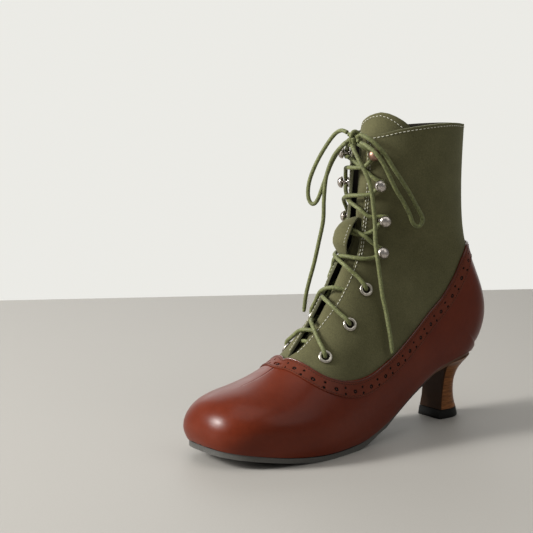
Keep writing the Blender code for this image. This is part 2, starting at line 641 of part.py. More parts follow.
# ------------------------------------------------------------------ heel
def heel_section(y_front, y_back, half, corner):
    """D shape: flat breast, round back; points run from breast corner to breast corner."""
    y_mid = y_front + 0.34 * (y_back - y_front)
    pts = [(-half * corner * 0.94, y_front), (-half * corner, y_front + 0.8)]
    for i in range(11):
        a = -math.pi / 2 + math.pi * i / 10
        pts.append((half * math.sin(a), y_mid + (y_back - y_mid) * max(math.cos(a), 0.0)))
    pts += [(half * corner, y_front + 0.8), (half * corner * 0.94, y_front)]
    return pts


def loft_levels(name, levels, material):
    """Closed solid through levels, each a list of (x, y, z) of the same count."""
    bm = bmesh.new()
    rings = [[bm.verts.new((p[0] * MM, p[1] * MM, p[2] * MM)) for p in level] for level in levels]
    n = len(rings[0])
    for a, b in zip(rings, rings[1:]):
        for i in range(n):
            j = (i + 1) % n
            bm.faces.new((a[i], a[j], b[j], b[i]))
    for ring, flip in ((rings[0], False), (rings[-1], True)):
        for i in range(n // 2):
            j = n - 1 - i
            if j - 1 == i + 1:
                quad = [ring[i], ring[i + 1], ring[j]]
            elif i + 1 >= j:
                continue
            else:
                quad = [ring[i], ring[i + 1], ring[j - 1], ring[j]]
            bm.faces.new(quad[::-1] if flip else quad)
    bmesh.ops.recalc_face_normals(bm, faces=bm.faces)
    mesh = bpy.data.meshes.new(name)
    bm.to_mesh(mesh)
    bm.free()
    ob = add_object(name, mesh, material)
    smooth(ob, 40)
    return ob


def build_heel():
    levels = []
    for row, (z, yf, yb, half, corner) in enumerate(HEEL):
        pts = heel_section(yf, yb, half, corner)
        if row == 0:
            levels.append([(x, y, under_sole(y) - GAP) for x, y in pts])
        else:
            share = max(0.0, 1 - row / 3.0)
            levels.append([(x, y, z + share * (under_sole(y) - under_sole(yb)) * 0.8)
                           for x, y in pts])
    return loft_levels("heel", levels, "stacked_wood")


def build_heel_tip():
    levels = []
    for z, yf, yb, half in ((HEEL_TIP_TOP, 74.4, 96.5, 11.8), (3.0, 73.9, 97.4, 12.0),
                            (0.0, 73.5, 98.3, 12.3)):
        levels.append([(x, y, z) for x, y in heel_section(yf, yb, half, 0.94)])
    return loft_levels("heel_tip", levels, "top_piece")


# ------------------------------------------------------------------ eyelets and hooks
def build_hardware():
    lift = 0.45
    ring = [(EYELET_HOLE_R + 0.9, 1.2), (EYELET_OUTER_R - 0.6, 1.05), (EYELET_OUTER_R, 0.35),
            (EYELET_OUTER_R, 0.0), (EYELET_HOLE_R, 0.0), (EYELET_HOLE_R, 0.7)]
    r, neck = HOOK_HEAD_R, HOOK_NECK_R
    hook = [(0.0, 7.0), (2.2, 6.5), (3.6, 5.6), (r, 4.8), (3.7, 4.1), (neck, 3.7),
            (neck, 0.65), (3.4, 0.55), (3.4, 0.0), (0.0, 0.0)]
    for i, (k, arc) in enumerate(LACE_STATIONS):
        for side, tag in ((1, "lat"), (-1, "med")):
            a = arc * side
            origin = lifted(k, a, lift)
            normal = outward(k, a)
            if i < 3:
                turned("eyelet_%s_%d" % (tag, i + 1), ring, 12, origin, normal, "hardware")
            else:
                turned("hook_%s_%d" % (tag, i - 2), hook, 10, origin, normal, "hardware")


# ------------------------------------------------------------------ laces
def strand_route(n, side):
    """From station n on one side to station n + 1 on the other; mm."""
    k0, a0 = LACE_STATIONS[n]
    k1, a1 = LACE_STATIONS[n + 1]
    start = at_arc(k0, side * a0)
    end = at_arc(k1, -side * a1)
    dx, dz = end[0] - start[0], end[2] - start[2]
    length = math.hypot(dx, dz)
    g0 = table_at(THROAT, front_rib(start, end, 0.5), 1)
    under = n + 1 < 3
    pts = []

    def at(distance, height):
        t = distance / length
        if side < 0 and 0.15 < t < 0.85:
            height += 0.37
        return front_point(start[0] + dx * t, start[2] + dz * t, height)

    mid = length * 0.5
    if n == 3:                      # this one runs under the keeper
        reach = ((5.6, 2.5), (mid - g0 - 0.8, 2.35), (mid - 5.0, 0.3), (mid, -0.3),
                 (mid + 5.0, 0.3), (mid + g0 + 0.8, 2.35), (length - 5.2, 2.5))
        return [at(distance, height) for distance, height in reach]
    pts.append(at(5.6, 2.5))
    pts.append(at(max(mid - g0 - 2.2, 9.0), 2.1))
    pts.append(at(mid - g0 * 0.45, 0.9))
    if under:
        pts.append(at(mid, -0.9))
        pts.append(at(mid + g0 * 0.55, -3.2))
        pts.append(at(mid + g0 + 1.5, -3.7))
    else:
        pts.append(at(mid, 0.4))
        pts.append(at(mid + g0 * 0.45, 0.9))
        pts.append(at(min(mid + g0 + 2.2, length - 9.0), 2.1))
        pts.append(at(length - 5.2, 2.5))
    return pts


def front_rib(start, end, t):
    """Rib on the centre line at the height of a point between two stations."""
    z = start[2] + (end[2] - start[2]) * t
    ks = np.linspace(K_THROAT, K_COLLAR, 120)
    zs = [rib_row(k)[1] for k in ks]
    return float(np.interp(z, zs, ks))


def build_lacing():
    for n in range(6):
        name = "lace_cross_%d" % (n + 1)
        a = curve_to_mesh(cord(name, strand_route(n, 1), 8))
        b = curve_to_mesh(cord(name + "_other", strand_route(n, -1), 8))
        mod = a.modifiers.new("join", "BOOLEAN")
        mod.operation = "UNION"
        mod.solver = "EXACT"
        mod.object = b
        bpy.context.view_layer.update()
        deps = bpy.context.evaluated_depsgraph_get()
        mesh = bpy.data.meshes.new_from_object(a.evaluated_get(deps))
        a.modifiers.clear()
        a.data = mesh
        bpy.data.objects.remove(b, do_unlink=True)
        smooth(a, 50)


def build_bow():
    cx, cy, cz = KNOT_CENTRE
    bm = bmesh.new()
    bmesh.ops.create_uvsphere(bm, u_segments=12, v_segments=8, radius=1.0)
    for v in bm.verts:
        v.co = Vector(((cx + v.co.x * KNOT_RADII[0]) * MM, (cy + v.co.y * KNOT_RADII[1]) * MM,
                       (cz + v.co.z * KNOT_RADII[2]) * MM))
    mesh = bpy.data.meshes.new("lace_knot")
    bm.to_mesh(mesh)
    bm.free()
    smooth(add_object("lace_knot", mesh, "lace"))
    cord("lace_loop_left", ROUTE_LOOP_LEFT, 24)
    cord("lace_loop_right", ROUTE_LOOP_RIGHT, 28)
    cord("lace_end_left", ROUTE_END_LEFT, 15)
    cord("lace_end_right", ROUTE_END_RIGHT, 18)


def main():
    global PART
    clear_scene()
    scene = bpy.context.scene
    PART = bpy.data.collections.new("lace_up_heeled_boot")
    scene.collection.children.link(PART)
    for name in MATERIALS:
        MATS[name] = make_material(name)
    build_sole()
    build_insole()
    build_heel()
    build_heel_tip()
    build_upper()
    build_galosh()
    build_tongue()
    build_keeper()
    build_hardware()
    build_lacing()
    build_bow()
    bpy.context.view_layer.update()
    for ob in PART.objects:
        ob.matrix_world = Matrix.Translation((SHIFT_X * MM, SHIFT_Y * MM, 0.0)) @ ob.matrix_world
    bpy.context.view_layer.update()


main()
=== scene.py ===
"""Lace-up heeled ankle boot, left shoe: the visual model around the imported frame.

The tables and the functions of the last are those of the solids, in millimetres, and
M() turns a point into metres of the frame.
"""
import math

import bmesh
import bpy
import numpy as np
from mathutils import Matrix, Vector
from mathutils.bvhtree import BVHTree
from mathutils.geometry import delaunay_2d_cdt
from mathutils.interpolate import poly_3d_calc


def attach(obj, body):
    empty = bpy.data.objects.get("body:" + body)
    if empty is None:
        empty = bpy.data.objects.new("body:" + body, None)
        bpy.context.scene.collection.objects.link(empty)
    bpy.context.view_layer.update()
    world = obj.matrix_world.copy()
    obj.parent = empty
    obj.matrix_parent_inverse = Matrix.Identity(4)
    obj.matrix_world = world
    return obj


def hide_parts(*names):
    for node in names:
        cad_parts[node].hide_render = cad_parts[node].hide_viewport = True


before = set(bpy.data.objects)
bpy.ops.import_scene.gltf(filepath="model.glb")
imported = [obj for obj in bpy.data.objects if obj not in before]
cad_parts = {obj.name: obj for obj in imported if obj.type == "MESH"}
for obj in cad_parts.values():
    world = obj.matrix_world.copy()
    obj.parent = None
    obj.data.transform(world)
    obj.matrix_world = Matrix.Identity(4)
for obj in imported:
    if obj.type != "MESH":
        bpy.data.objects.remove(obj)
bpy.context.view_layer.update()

MM = 0.001
SHIFT_X, SHIFT_Y = 0.15, 4.73
UPPER_WALL = 1.8
GALOSH_GAP = 0.72
GALOSH_THICK = 1.1
TONGUE_THICK = 1.5
INSOLE_INSET = 3.0
GAP = 0.30
LACE_D = 2.8
EYELET_OUTER_R = 4.7
EYELET_HOLE_R = 2.4
HOOK_HEAD_R = 4.1
HOOK_NECK_R = 1.5
KEEPER_K0, KEEPER_K1, KEEPER_HALF, KEEPER_RISE, KEEPER_THICK = 13.3, 19.8, 5.6, 11.0, 1.2
KEEPER_ARC = -1.6         # it sits a little to the medial side


def M(p):
    return ((p[0] + SHIFT_X) * MM, (p[1] + SHIFT_Y) * MM, p[2] * MM)


# ------------------------------------------------------------------ the last
# F front centre line, E edge, cx centre offset (toe swings to the medial side),
# w half width at the edge, W widest half width, sw where along the rib it is widest,
# p and q exponents of the front (A) and the edge (B) quarter of the rib.
# First row: phantom row that gives the toe its tangent.
RIB_COLUMNS = ("Fy", "Fz", "Ey", "Ez", "cx", "w_lat", "w_med", "W_lat", "W_med",
               "sw", "pA", "qA", "pB", "qB")
RIBS = np.array([
    (-121.0,   7.0, -121.4,  12.1, -4.0, -12.0, -12.0, -12.0, -12.0, 0.80, 2.0, 2.0, 2.0, 1.2),
    (-122.5,  12.5, -122.5,  12.5, -4.0,   0.0,   0.0,   0.0,   0.0, 0.80, 2.0, 2.0, 2.0, 1.2),
    (-124.6,  18.0, -121.4,  12.1, -4.0,  11.8,  11.8,  12.0,  12.0, 0.75, 2.0, 2.0, 2.0, 1.2),
    (-124.9,  25.0, -117.5,  11.4, -3.8,  20.0,  20.3,  21.3,  21.8, 0.70, 2.0, 2.0, 2.0, 1.2),
    (-121.8,  32.8, -110.0,  10.0, -3.2,  27.0,  27.0,  29.0,  29.0, 0.64, 2.0, 2.0, 2.0, 1.2),
    (-114.5,  39.2,  -99.0,   8.2, -2.4,  32.0,  31.8,  34.4,  34.2, 0.60, 2.1, 2.0, 2.0, 1.2),
    (-104.0,  43.4,  -86.0,   6.2, -1.6,  35.7,  35.3,  38.2,  37.8, 0.60, 2.1, 2.0, 2.0, 1.2),
    ( -91.0,  46.4,  -71.0,   4.6, -0.8,  38.0,  37.6,  40.7,  40.3, 0.62, 2.0, 1.9, 2.0, 1.2),
    ( -75.5,  51.3,  -54.0,   3.6,  0.0,  38.2,  37.5,  40.8,  40.2, 0.66, 2.0, 1.9, 2.0, 1.2),
    ( -57.0,  60.8,  -35.0,   3.8,  0.0,  35.5,  34.0,  38.5,  38.0, 0.68, 1.9, 1.9, 2.0, 1.2),
    ( -45.0,  71.0,  -16.0,   5.4,  0.0,  31.5,  29.5,  35.5,  35.0, 0.68, 1.9, 1.9, 2.0, 1.2),
    ( -33.0,  85.0,    6.0,  12.5,  0.0,  27.5,  25.5,  32.5,  32.0, 0.69, 1.9, 1.9, 2.0, 1.2),
    ( -24.0,  98.5,   30.0,  27.0,  0.0,  25.0,  23.5,  30.8,  30.3, 0.71, 1.9, 1.9, 2.0, 1.2),
    ( -17.0, 112.0,   54.0,  41.0,  0.0,  24.0,  23.6,  29.2,  29.2, 0.74, 2.0, 2.0, 2.0, 1.2),
    ( -12.0, 122.0,   74.0,  47.0,  0.0,  24.0,  24.0,  28.0,  28.0, 0.76, 2.0, 2.0, 2.0, 1.3),
    (  -9.0, 129.0,   87.5,  48.8,  0.0,  21.5,  21.5,  27.4,  27.4, 0.775, 2.0, 2.0, 2.0, 1.5),
    (  -7.5, 133.0,   96.0,  49.2,  0.0,  16.3,  16.3,  27.1,  27.1, 0.78, 2.0, 2.0, 2.0, 1.7),
    (  -6.3, 136.0,  101.3,  49.4,  0.0,   9.0,   9.0,  27.0,  27.0, 0.783, 2.0, 2.0, 2.05, 1.9),
    (  -5.5, 138.5,  103.3,  49.8,  0.0,   0.0,   0.0,  27.0,  27.0, 0.785, 2.0, 2.0, 2.1, 2.0),
    (  -4.5, 141.5,  111.0,  57.5,  0.0,   0.0,   0.0,  27.0,  27.0, 0.785, 2.0, 2.0, 2.1, 2.0),
    (  -3.6, 146.0,  115.6,  72.0,  0.0,   0.0,   0.0,  27.0,  27.0, 0.775, 2.0, 2.0, 2.1, 2.0),
    (  -2.5, 151.0,  112.2,  87.5,  0.0,   0.0,   0.0,  27.2,  27.2, 0.75, 2.0, 2.0, 2.1, 2.0),
    (  -1.2, 157.5,  104.7, 104.0,  0.0,   0.0,   0.0,  27.8,  27.8, 0.71, 2.0, 2.0, 2.0, 2.0),
    (   0.3, 165.5,   97.0, 121.0,  0.0,   0.0,   0.0,  28.8,  28.8, 0.65, 2.0, 2.0, 2.0, 2.0),
    (   1.8, 176.0,   92.8, 141.0,  0.0,   0.0,   0.0,  29.8,  29.8, 0.58, 2.0, 2.0, 2.0, 2.0),
    (   3.2, 189.5,   91.6, 172.0,  0.0,   0.0,   0.0,  30.6,  30.6, 0.53, 2.0, 2.0, 2.0, 2.0),
    (   4.5, 204.0,   93.3, 210.0,  0.0,   0.0,   0.0,  31.2,  31.2, 0.50, 2.0, 2.0, 2.0, 2.0),
    (   5.8, 219.0,   96.0, 250.0,  0.0,   0.0,   0.0,  31.8,  31.8, 0.48, 2.0, 2.0, 2.0, 2.0),
    (   7.1, 234.0,   98.7, 290.0,  0.0,   0.0,   0.0,  32.4,  32.4, 0.46, 2.0, 2.0, 2.0, 2.0),
])
K_THROAT = 8.0            # rib where the throat opens
K_SEAT = 17.0             # rib that ends at the back of the heel seat
K_COLLAR = 25.0
K_LAST = 26.0

# half opening of the throat, along the surface
THROAT_COLUMNS = ("k", "half_gap")
THROAT = np.array([(8.0, 0.0), (8.4, 3.0), (9.0, 4.6), (10.0, 7.0), (11.0, 9.8),
                   (12.0, 11.3), (14.0, 11.2), (17.0, 10.0), (19.0, 9.0),
                   (21.0, 8.4), (23.0, 8.0), (25.0, 6.0)])

# top line of the brown leather: on the rib k_top at the share u_top of its length,
# joined to the edge at the end of rib k_edge
GALOSH_COLUMNS = ("k_edge", "k_top", "u_top")
GALOSH = np.array([
    (0.22, 0.22, 0.0), (0.5, 0.5, 0.0), (1.0, 1.0, 0.0), (1.5, 1.5, 0.0), (2.0, 2.0, 0.0),
    (2.5, 2.5, 0.0), (3.0, 3.0, 0.0), (3.5, 3.5, 0.0), (4.0, 4.0, 0.0), (4.7, 4.7, 0.0),
    (5.4, 5.4, 0.0), (6.1, 6.1, 0.0), (6.8, 6.8, 0.0), (7.35, 7.4, 0.0), (7.6, 7.75, 0.0), (7.75, 7.92, 0.02),
    (7.85, 7.96, 0.05), (8.0, 8.0, 0.10), (8.15, 8.03, 0.15), (8.3, 8.07, 0.20),
    (8.45, 8.12, 0.26), (8.6, 8.2, 0.32), (8.8, 8.35, 0.37), (9.0, 8.55, 0.41),
    (9.3, 9.0, 0.48), (9.6, 9.5, 0.54), (10.0, 10.0, 0.58), (10.5, 10.5, 0.605),
    (11.0, 11.0, 0.625), (11.5, 11.5, 0.637), (12.0, 12.0, 0.638), (12.5, 12.5, 0.629),
    (13.0, 13.0, 0.615), (14.0, 14.0, 0.586), (15.0, 15.0, 0.563), (15.5, 15.5, 0.554),
    (16.0, 16.0, 0.546), (16.3, 16.3, 0.542),
    (16.6, 16.6, 0.538), (16.9, 16.9, 0.534),
    (17.2, 17.2, 0.532), (18.0, 18.0, 0.530), (19.0, 19.0, 0.555), (20.0, 20.0, 0.605), (20.5, 20.5, 0.630), (21.0, 21.0, 0.655), (21.5, 21.5, 0.690),
    (21.75, 21.75, 0.725), (21.95, 21.95, 0.770), (22.1, 22.1, 0.820), (22.22, 22.22, 0.875),
    (22.32, 22.32, 0.935), (22.4, 22.4, 1.0)])

# the leather's lower edge stops this far short of the feather edge, so that its
# thickness clears the sole: rib, distance
TURN_COLUMNS = ("k_edge", "short_by")
TURN = np.array([(0.0, 0.2), (0.5, 1.1), (9.0, 1.1), (12.0, 1.2), (14.0, 1.6), (15.0, 2.3),
                 (16.0, 2.8), (16.9, 2.8), (17.2, 0.0), (22.4, 0.0)])

# sole: underside height and how far it stands out of the feather edge
SOLE_COLUMNS = ("k", "z_under", "margin")
SOLE = np.array([(0.0, 8.6, 1.5), (1.0, 8.2, 1.5), (2.0, 7.5, 1.5), (3.0, 6.2, 1.5),
                 (4.0, 4.5, 1.5), (5.0, 2.6, 1.5), (6.0, 0.9, 1.5), (6.6, 0.0, 1.5),
                 (8.6, 0.0, 1.5), (9.0, 1.2, 1.4), (10.0, 9.2, 0.9), (11.0, 24.4, 0.5),
                 (12.0, 38.6, 0.3), (13.0, 44.6, 0.2), (14.0, 46.4, 0.2),
                 (15.0, 46.8, 0.2), (17.0, 47.2, 0.2)])

# heel: level, breast (front), back and half width, from the seat down to the top piece
HEEL_COLUMNS = ("z", "y_breast", "y_back", "half_width", "corner")
HEEL = np.array([(46.0, 69.5, 102.9, 23.7, 0.98), (43.0, 72.0, 101.0, 20.8, 0.97),
                 (39.5, 74.0, 98.3, 17.4, 0.96), (35.0, 75.6, 95.3, 14.4, 0.95),
                 (29.0, 76.4, 93.4, 12.2, 0.94), (22.0, 76.3, 92.9, 11.1, 0.94),
                 (15.0, 75.7, 93.7, 10.9, 0.94), (10.0, 75.0, 95.0, 11.3, 0.94),
                 (6.8, 74.6, 96.3, 11.7, 0.94)])

# tongue: rib, half width along the surface, depth below the facings' outer face
TONGUE_COLUMNS = ("k", "half_width", "inset")
TONGUE = np.array([(7.2, 9.0, 2.6), (8.0, 14.0, 4.6), (9.0, 19.0, 5.6), (10.0, 22.0, 5.6),
                   (12.0, 24.0, 5.6), (16.0, 25.0, 5.6), (20.0, 25.0, 5.6),
                   (23.0, 25.5, 5.6), (24.0, 26.0, 5.8), (25.0, 26.0, 6.4),
                   (26.0, 26.0, 7.6)])
TONGUE_TOP_COLUMNS = ("arc", "k")
TONGUE_TOP = np.array([(-26.0, 24.9), (-20.0, 25.25), (-12.0, 25.6), (-5.2, 25.8),
                       (0.0, 25.93), (6.0, 26.0), (12.8, 26.0), (20.0, 25.86),
                       (26.3, 25.67), (32.9, 25.44), (38.7, 25.21), (41.0, 24.9)])
TONGUE_WIDER = (23.2, 24.6, 15.0)   # between these ribs its lateral half grows by this

# eyelets (1 to 3) and hooks (4 to 7): rib and distance from the centre line
LACE_COLUMNS = ("k", "arc")
LACE_STATIONS = [(9.0, 22.4), (10.6, 24.6), (12.2, 25.2), (17.0, 26.5), (20.7, 23.5),
                 (22.9, 18.5), (24.2, 14.0)]

KNOT_CENTRE = (2.5, -1.8, 203.0)
KNOT_RADII = (4.0, 4.0, 5.0)

# routes of the loose cord, x y z in mm, from the knot outwards
ROUTE_COLUMNS = ("x", "y", "z")
ROUTE_LOOP_LEFT = [(-2.6, -4.2, 206.3), (-7.5, -5.2, 207.6), (-13.7, -7.1, 203.6),
                   (-22.3, -11.2, 189.9), (-28.3, -14.1, 176.1), (-30.2, -15.0, 166.5),
                   (-29.5, -14.7, 159.7), (-26.8, -13.4, 156.7), (-23.5, -11.8, 160.6),
                   (-18.9, -9.6, 173.8), (-14.3, -7.4, 186.1), (-7.6, -4.4, 197.1),
                   (-3.0, -2.6, 200.9)]
ROUTE_END_LEFT = [(-1.5, -6.2, 199.5), (-5.3, -7.6, 196.4), (-10.2, -9.2, 190.6),
                  (-13.7, -10.8, 182.2), (-15.7, -11.7, 174.0), (-16.8, -12.2, 160.4),
                  (-17.5, -12.1, 146.6), (-21.3, -12.7, 131.4), (-25.0, -13.6, 116.7),
                  (-28.6, -14.6, 104.8), (-31.4, -15.4, 94.0), (-33.4, -15.6, 82.0)]
ROUTE_LOOP_RIGHT = [(8.4, -2.6, 205.6), (14.2, -0.7, 203.2), (17.9, 1.9, 199.9),
                    (22.0, 7.0, 192.9), (25.0, 12.1, 183.7), (27.4, 17.4, 175.5),
                    (29.2, 23.0, 167.1), (30.2, 28.0, 159.0), (30.8, 31.9, 152.9),
                    (31.1, 34.0, 149.2), (30.8, 33.6, 145.6), (30.2, 30.6, 143.7),
                    (29.5, 27.6, 145.0), (28.9, 25.7, 148.6), (28.3, 23.9, 153.4),
                    (27.4, 18.8, 161.6), (26.7, 13.4, 169.0), (25.6, 8.0, 178.8),
                    (25.0, 3.8, 186.0), (22.0, -0.7, 193.6), (16.0, -3.0, 198.0),
                    (10.0, -3.4, 200.0)]
ROUTE_END_RIGHT = [(4.2, -6.4, 198.2), (8.2, -7.2, 194.6), (12.6, -6.6, 188.0),
                   (16.6, -4.4, 180.0), (18.8, -2.0, 171.0), (19.7, -0.4, 158.6),
                   (20.4, 0.6, 146.0), (21.6, 0.2, 134.3), (23.4, 0.6, 123.3),
                   (24.6, 2.0, 110.9), (26.2, 2.9, 98.7), (28.2, 4.3, 88.7),
                   (30.2, 4.5, 80.7), (32.4, 4.9, 71.1), (34.2, 5.0, 61.0)]


# ------------------------------------------------------------------ functions of the last
def table_at(table, k, column):
    return float(np.interp(k, table[:, 0], table[:, column]))


def rib_row(k):
    """Catmull-Rom through the rib table; k = 0 is the toe's edge."""
    k = min(max(float(k), 0.0), K_LAST)
    i = min(int(math.floor(k)), int(K_LAST) - 1)
    t = k - i
    p0, p1, p2, p3 = RIBS[i], RIBS[i + 1], RIBS[i + 2], RIBS[i + 3]
    return 0.5 * (2 * p1 + (p2 - p0) * t + (2 * p0 - 5 * p1 + 4 * p2 - p3) * t * t
                  + (3 * p1 - p0 - 3 * p2 + p3) * t ** 3)


RIB_CACHE = {}


def rib_line(k, side):
    """The rib as a dense line with its running length; side is +1 lateral, -1 medial."""
    key = (round(float(k), 5), side)
    if key in RIB_CACHE:
        return RIB_CACHE[key]
    fy, fz, ey, ez, cx, wl, wm, bl, bm, sw, pa, qa, pb, qb = rib_row(k)
    w, wide = (wl, bl) if side > 0 else (wm, bm)
    w = max(w, 0.0)
    wide = max(wide, w)
    span = np.array([0.0, ey - fy, ez - fz])
    length = float(np.linalg.norm(span))
    along = span / length if length > 1e-9 else np.array([0.0, 0.0, -1.0])
    angle = np.linspace(0.0, math.pi / 2, 160)
    c = np.clip(np.cos(angle), 0, 1) ** (2 / pa)
    a_front = sw * length * (1 - c)
    r_front = wide * (1 - c ** pa) ** (1 / qa)
    s = np.sin(angle) ** (2 / pb)
    a_edge = sw * length + (1 - sw) * length * s
    r_edge = w + (wide - w) * np.maximum(1 - s ** pb, 0) ** (1 / qb)
    a = np.concatenate([a_front, a_edge[1:]])
    r = np.concatenate([r_front, r_edge[1:]])
    line = np.array([cx, fy, fz]) + a[:, None] * along + side * r[:, None] * np.array([1.0, 0, 0])
    run = np.concatenate([[0.0], np.cumsum(np.linalg.norm(np.diff(line, axis=0), axis=1))])
    RIB_CACHE[key] = (line, run)
    return RIB_CACHE[key]


def on_rib(k, side, u):
    """Point at the share u of the rib's length."""
    line, run = rib_line(k, side)
    d = min(max(u, 0.0), 1.0) * run[-1]
    return np.array([np.interp(d, run, line[:, j]) for j in range(3)])


def at_arc(k, arc):
    """Point at a distance from the centre line, + lateral, - medial."""
    side = 1 if arc >= 0 else -1
    line, run = rib_line(k, side)
    d = min(abs(arc), run[-1])
    return np.array([np.interp(d, run, line[:, j]) for j in range(3)])


def outward(k, arc):
    """Unit normal of the last, pointing out."""
    a = at_arc(min(k + 0.15, K_LAST), arc) - at_arc(max(k - 0.15, 0.0), arc)
    b = at_arc(k, arc + 1.2) - at_arc(k, arc - 1.2)
    n = np.cross(b, a)
    return n / max(np.linalg.norm(n), 1e-9)


def lifted(k, arc, height):
    return at_arc(k, arc) + outward(k, arc) * height


def front_point(x, z, height):
    """Point of the front at a given x and z, lifted off the last."""
    lo, hi = 6.0, K_LAST
    side = 1 if x >= 0 else -1
    for _ in range(40):
        k = 0.5 * (lo + hi)
        line, run = rib_line(k, side)
        top = int(np.argmax(np.abs(line[:, 0])))
        d = np.interp(abs(x), np.abs(line[:top, 0]), run[:top])
        if at_arc(k, side * d)[2] < z:
            lo = k
        else:
            hi = k
    return lifted(k, side * d, height)


def catmull(points, per_span):
    """Smooth curve through route points."""
    p = [np.array(q, float) for q in points]
    p = [2 * p[0] - p[1]] + p + [2 * p[-1] - p[-2]]
    out = []
    for i in range(1, len(p) - 2):
        for s in range(per_span):
            t = s / per_span
            out.append(0.5 * (2 * p[i] + (p[i + 1] - p[i - 1]) * t
                              + (2 * p[i - 1] - 5 * p[i] + 4 * p[i + 1] - p[i + 2]) * t * t
                              + (3 * p[i] - p[i - 1] - 3 * p[i + 1] + p[i + 2]) * t ** 3))
    out.append(p[-2])
    return out


def resample(points, count):
    pts = np.array(points)
    run = np.concatenate([[0.0], np.cumsum(np.linalg.norm(np.diff(pts, axis=0), axis=1))])
    return [np.array([np.interp(d, run, pts[:, j]) for j in range(3)])
            for d in np.linspace(0, run[-1], count)]



def sole_outline(ks, margin_of):
    """Feather edge moved out (or in) by a margin: lateral and medial points for each rib."""
    lat = [on_rib(k, 1, 1.0) for k in ks]
    med = [on_rib(k, -1, 1.0) for k in ks]
    loop = lat + med[-2:0:-1]
    margins = [margin_of(k) for k in ks] + [margin_of(k) for k in ks[-2:0:-1]]
    n = len(loop)
    moved = []
    for i, (p, m) in enumerate(zip(loop, margins)):
        t = loop[(i + 1) % n][:2] - loop[i - 1][:2]
        t = t / np.linalg.norm(t)
        moved.append(np.array([p[0] + t[1] * m, p[1] - t[0] * m, p[2]]))
    lat2 = moved[:len(ks)]
    med2 = [moved[0]] + [moved[n - i] for i in range(1, len(ks) - 1)] + [lat2[-1]]
    return lat2, med2


def heel_section(y_front, y_back, half, corner):
    """D shape: flat breast, round back; points run from breast corner to breast corner."""
    y_mid = y_front + 0.34 * (y_back - y_front)
    pts = [(-half * corner * 0.94, y_front), (-half * corner, y_front + 0.8)]
    for i in range(11):
        a = -math.pi / 2 + math.pi * i / 10
        pts.append((half * math.sin(a), y_mid + (y_back - y_mid) * max(math.cos(a), 0.0)))
    pts += [(half * corner, y_front + 0.8), (half * corner * 0.94, y_front)]
    return pts


# ------------------------------------------------------------------ camera
camera_data = bpy.data.cameras.new("camera")
camera_data.lens = 1400.0 * 36.0 / 533.0
camera_data.sensor_width = 36.0
camera_data.clip_start, camera_data.clip_end = 0.01, 50.0
camera = bpy.data.objects.new("camera", camera_data)
bpy.context.scene.collection.objects.link(camera)
AZ, PITCH = math.radians(52.0), math.atan((266.5 - 55.0) / 1400.0)
RIGHT = Vector((math.cos(AZ), math.sin(AZ), 0.0))
AHEAD = Vector((-math.sin(AZ) * math.cos(PITCH), math.cos(AZ) * math.cos(PITCH),
                -math.sin(PITCH)))
UP = RIGHT.cross(AHEAD)
camera.matrix_world = Matrix.Translation(M((700.72, -621.92, 257.28))) @ Matrix(
    (RIGHT, UP, -AHEAD)).transposed().to_4x4()
bpy.context.scene.camera = camera
bpy.context.scene.view_settings.view_transform = "Standard"


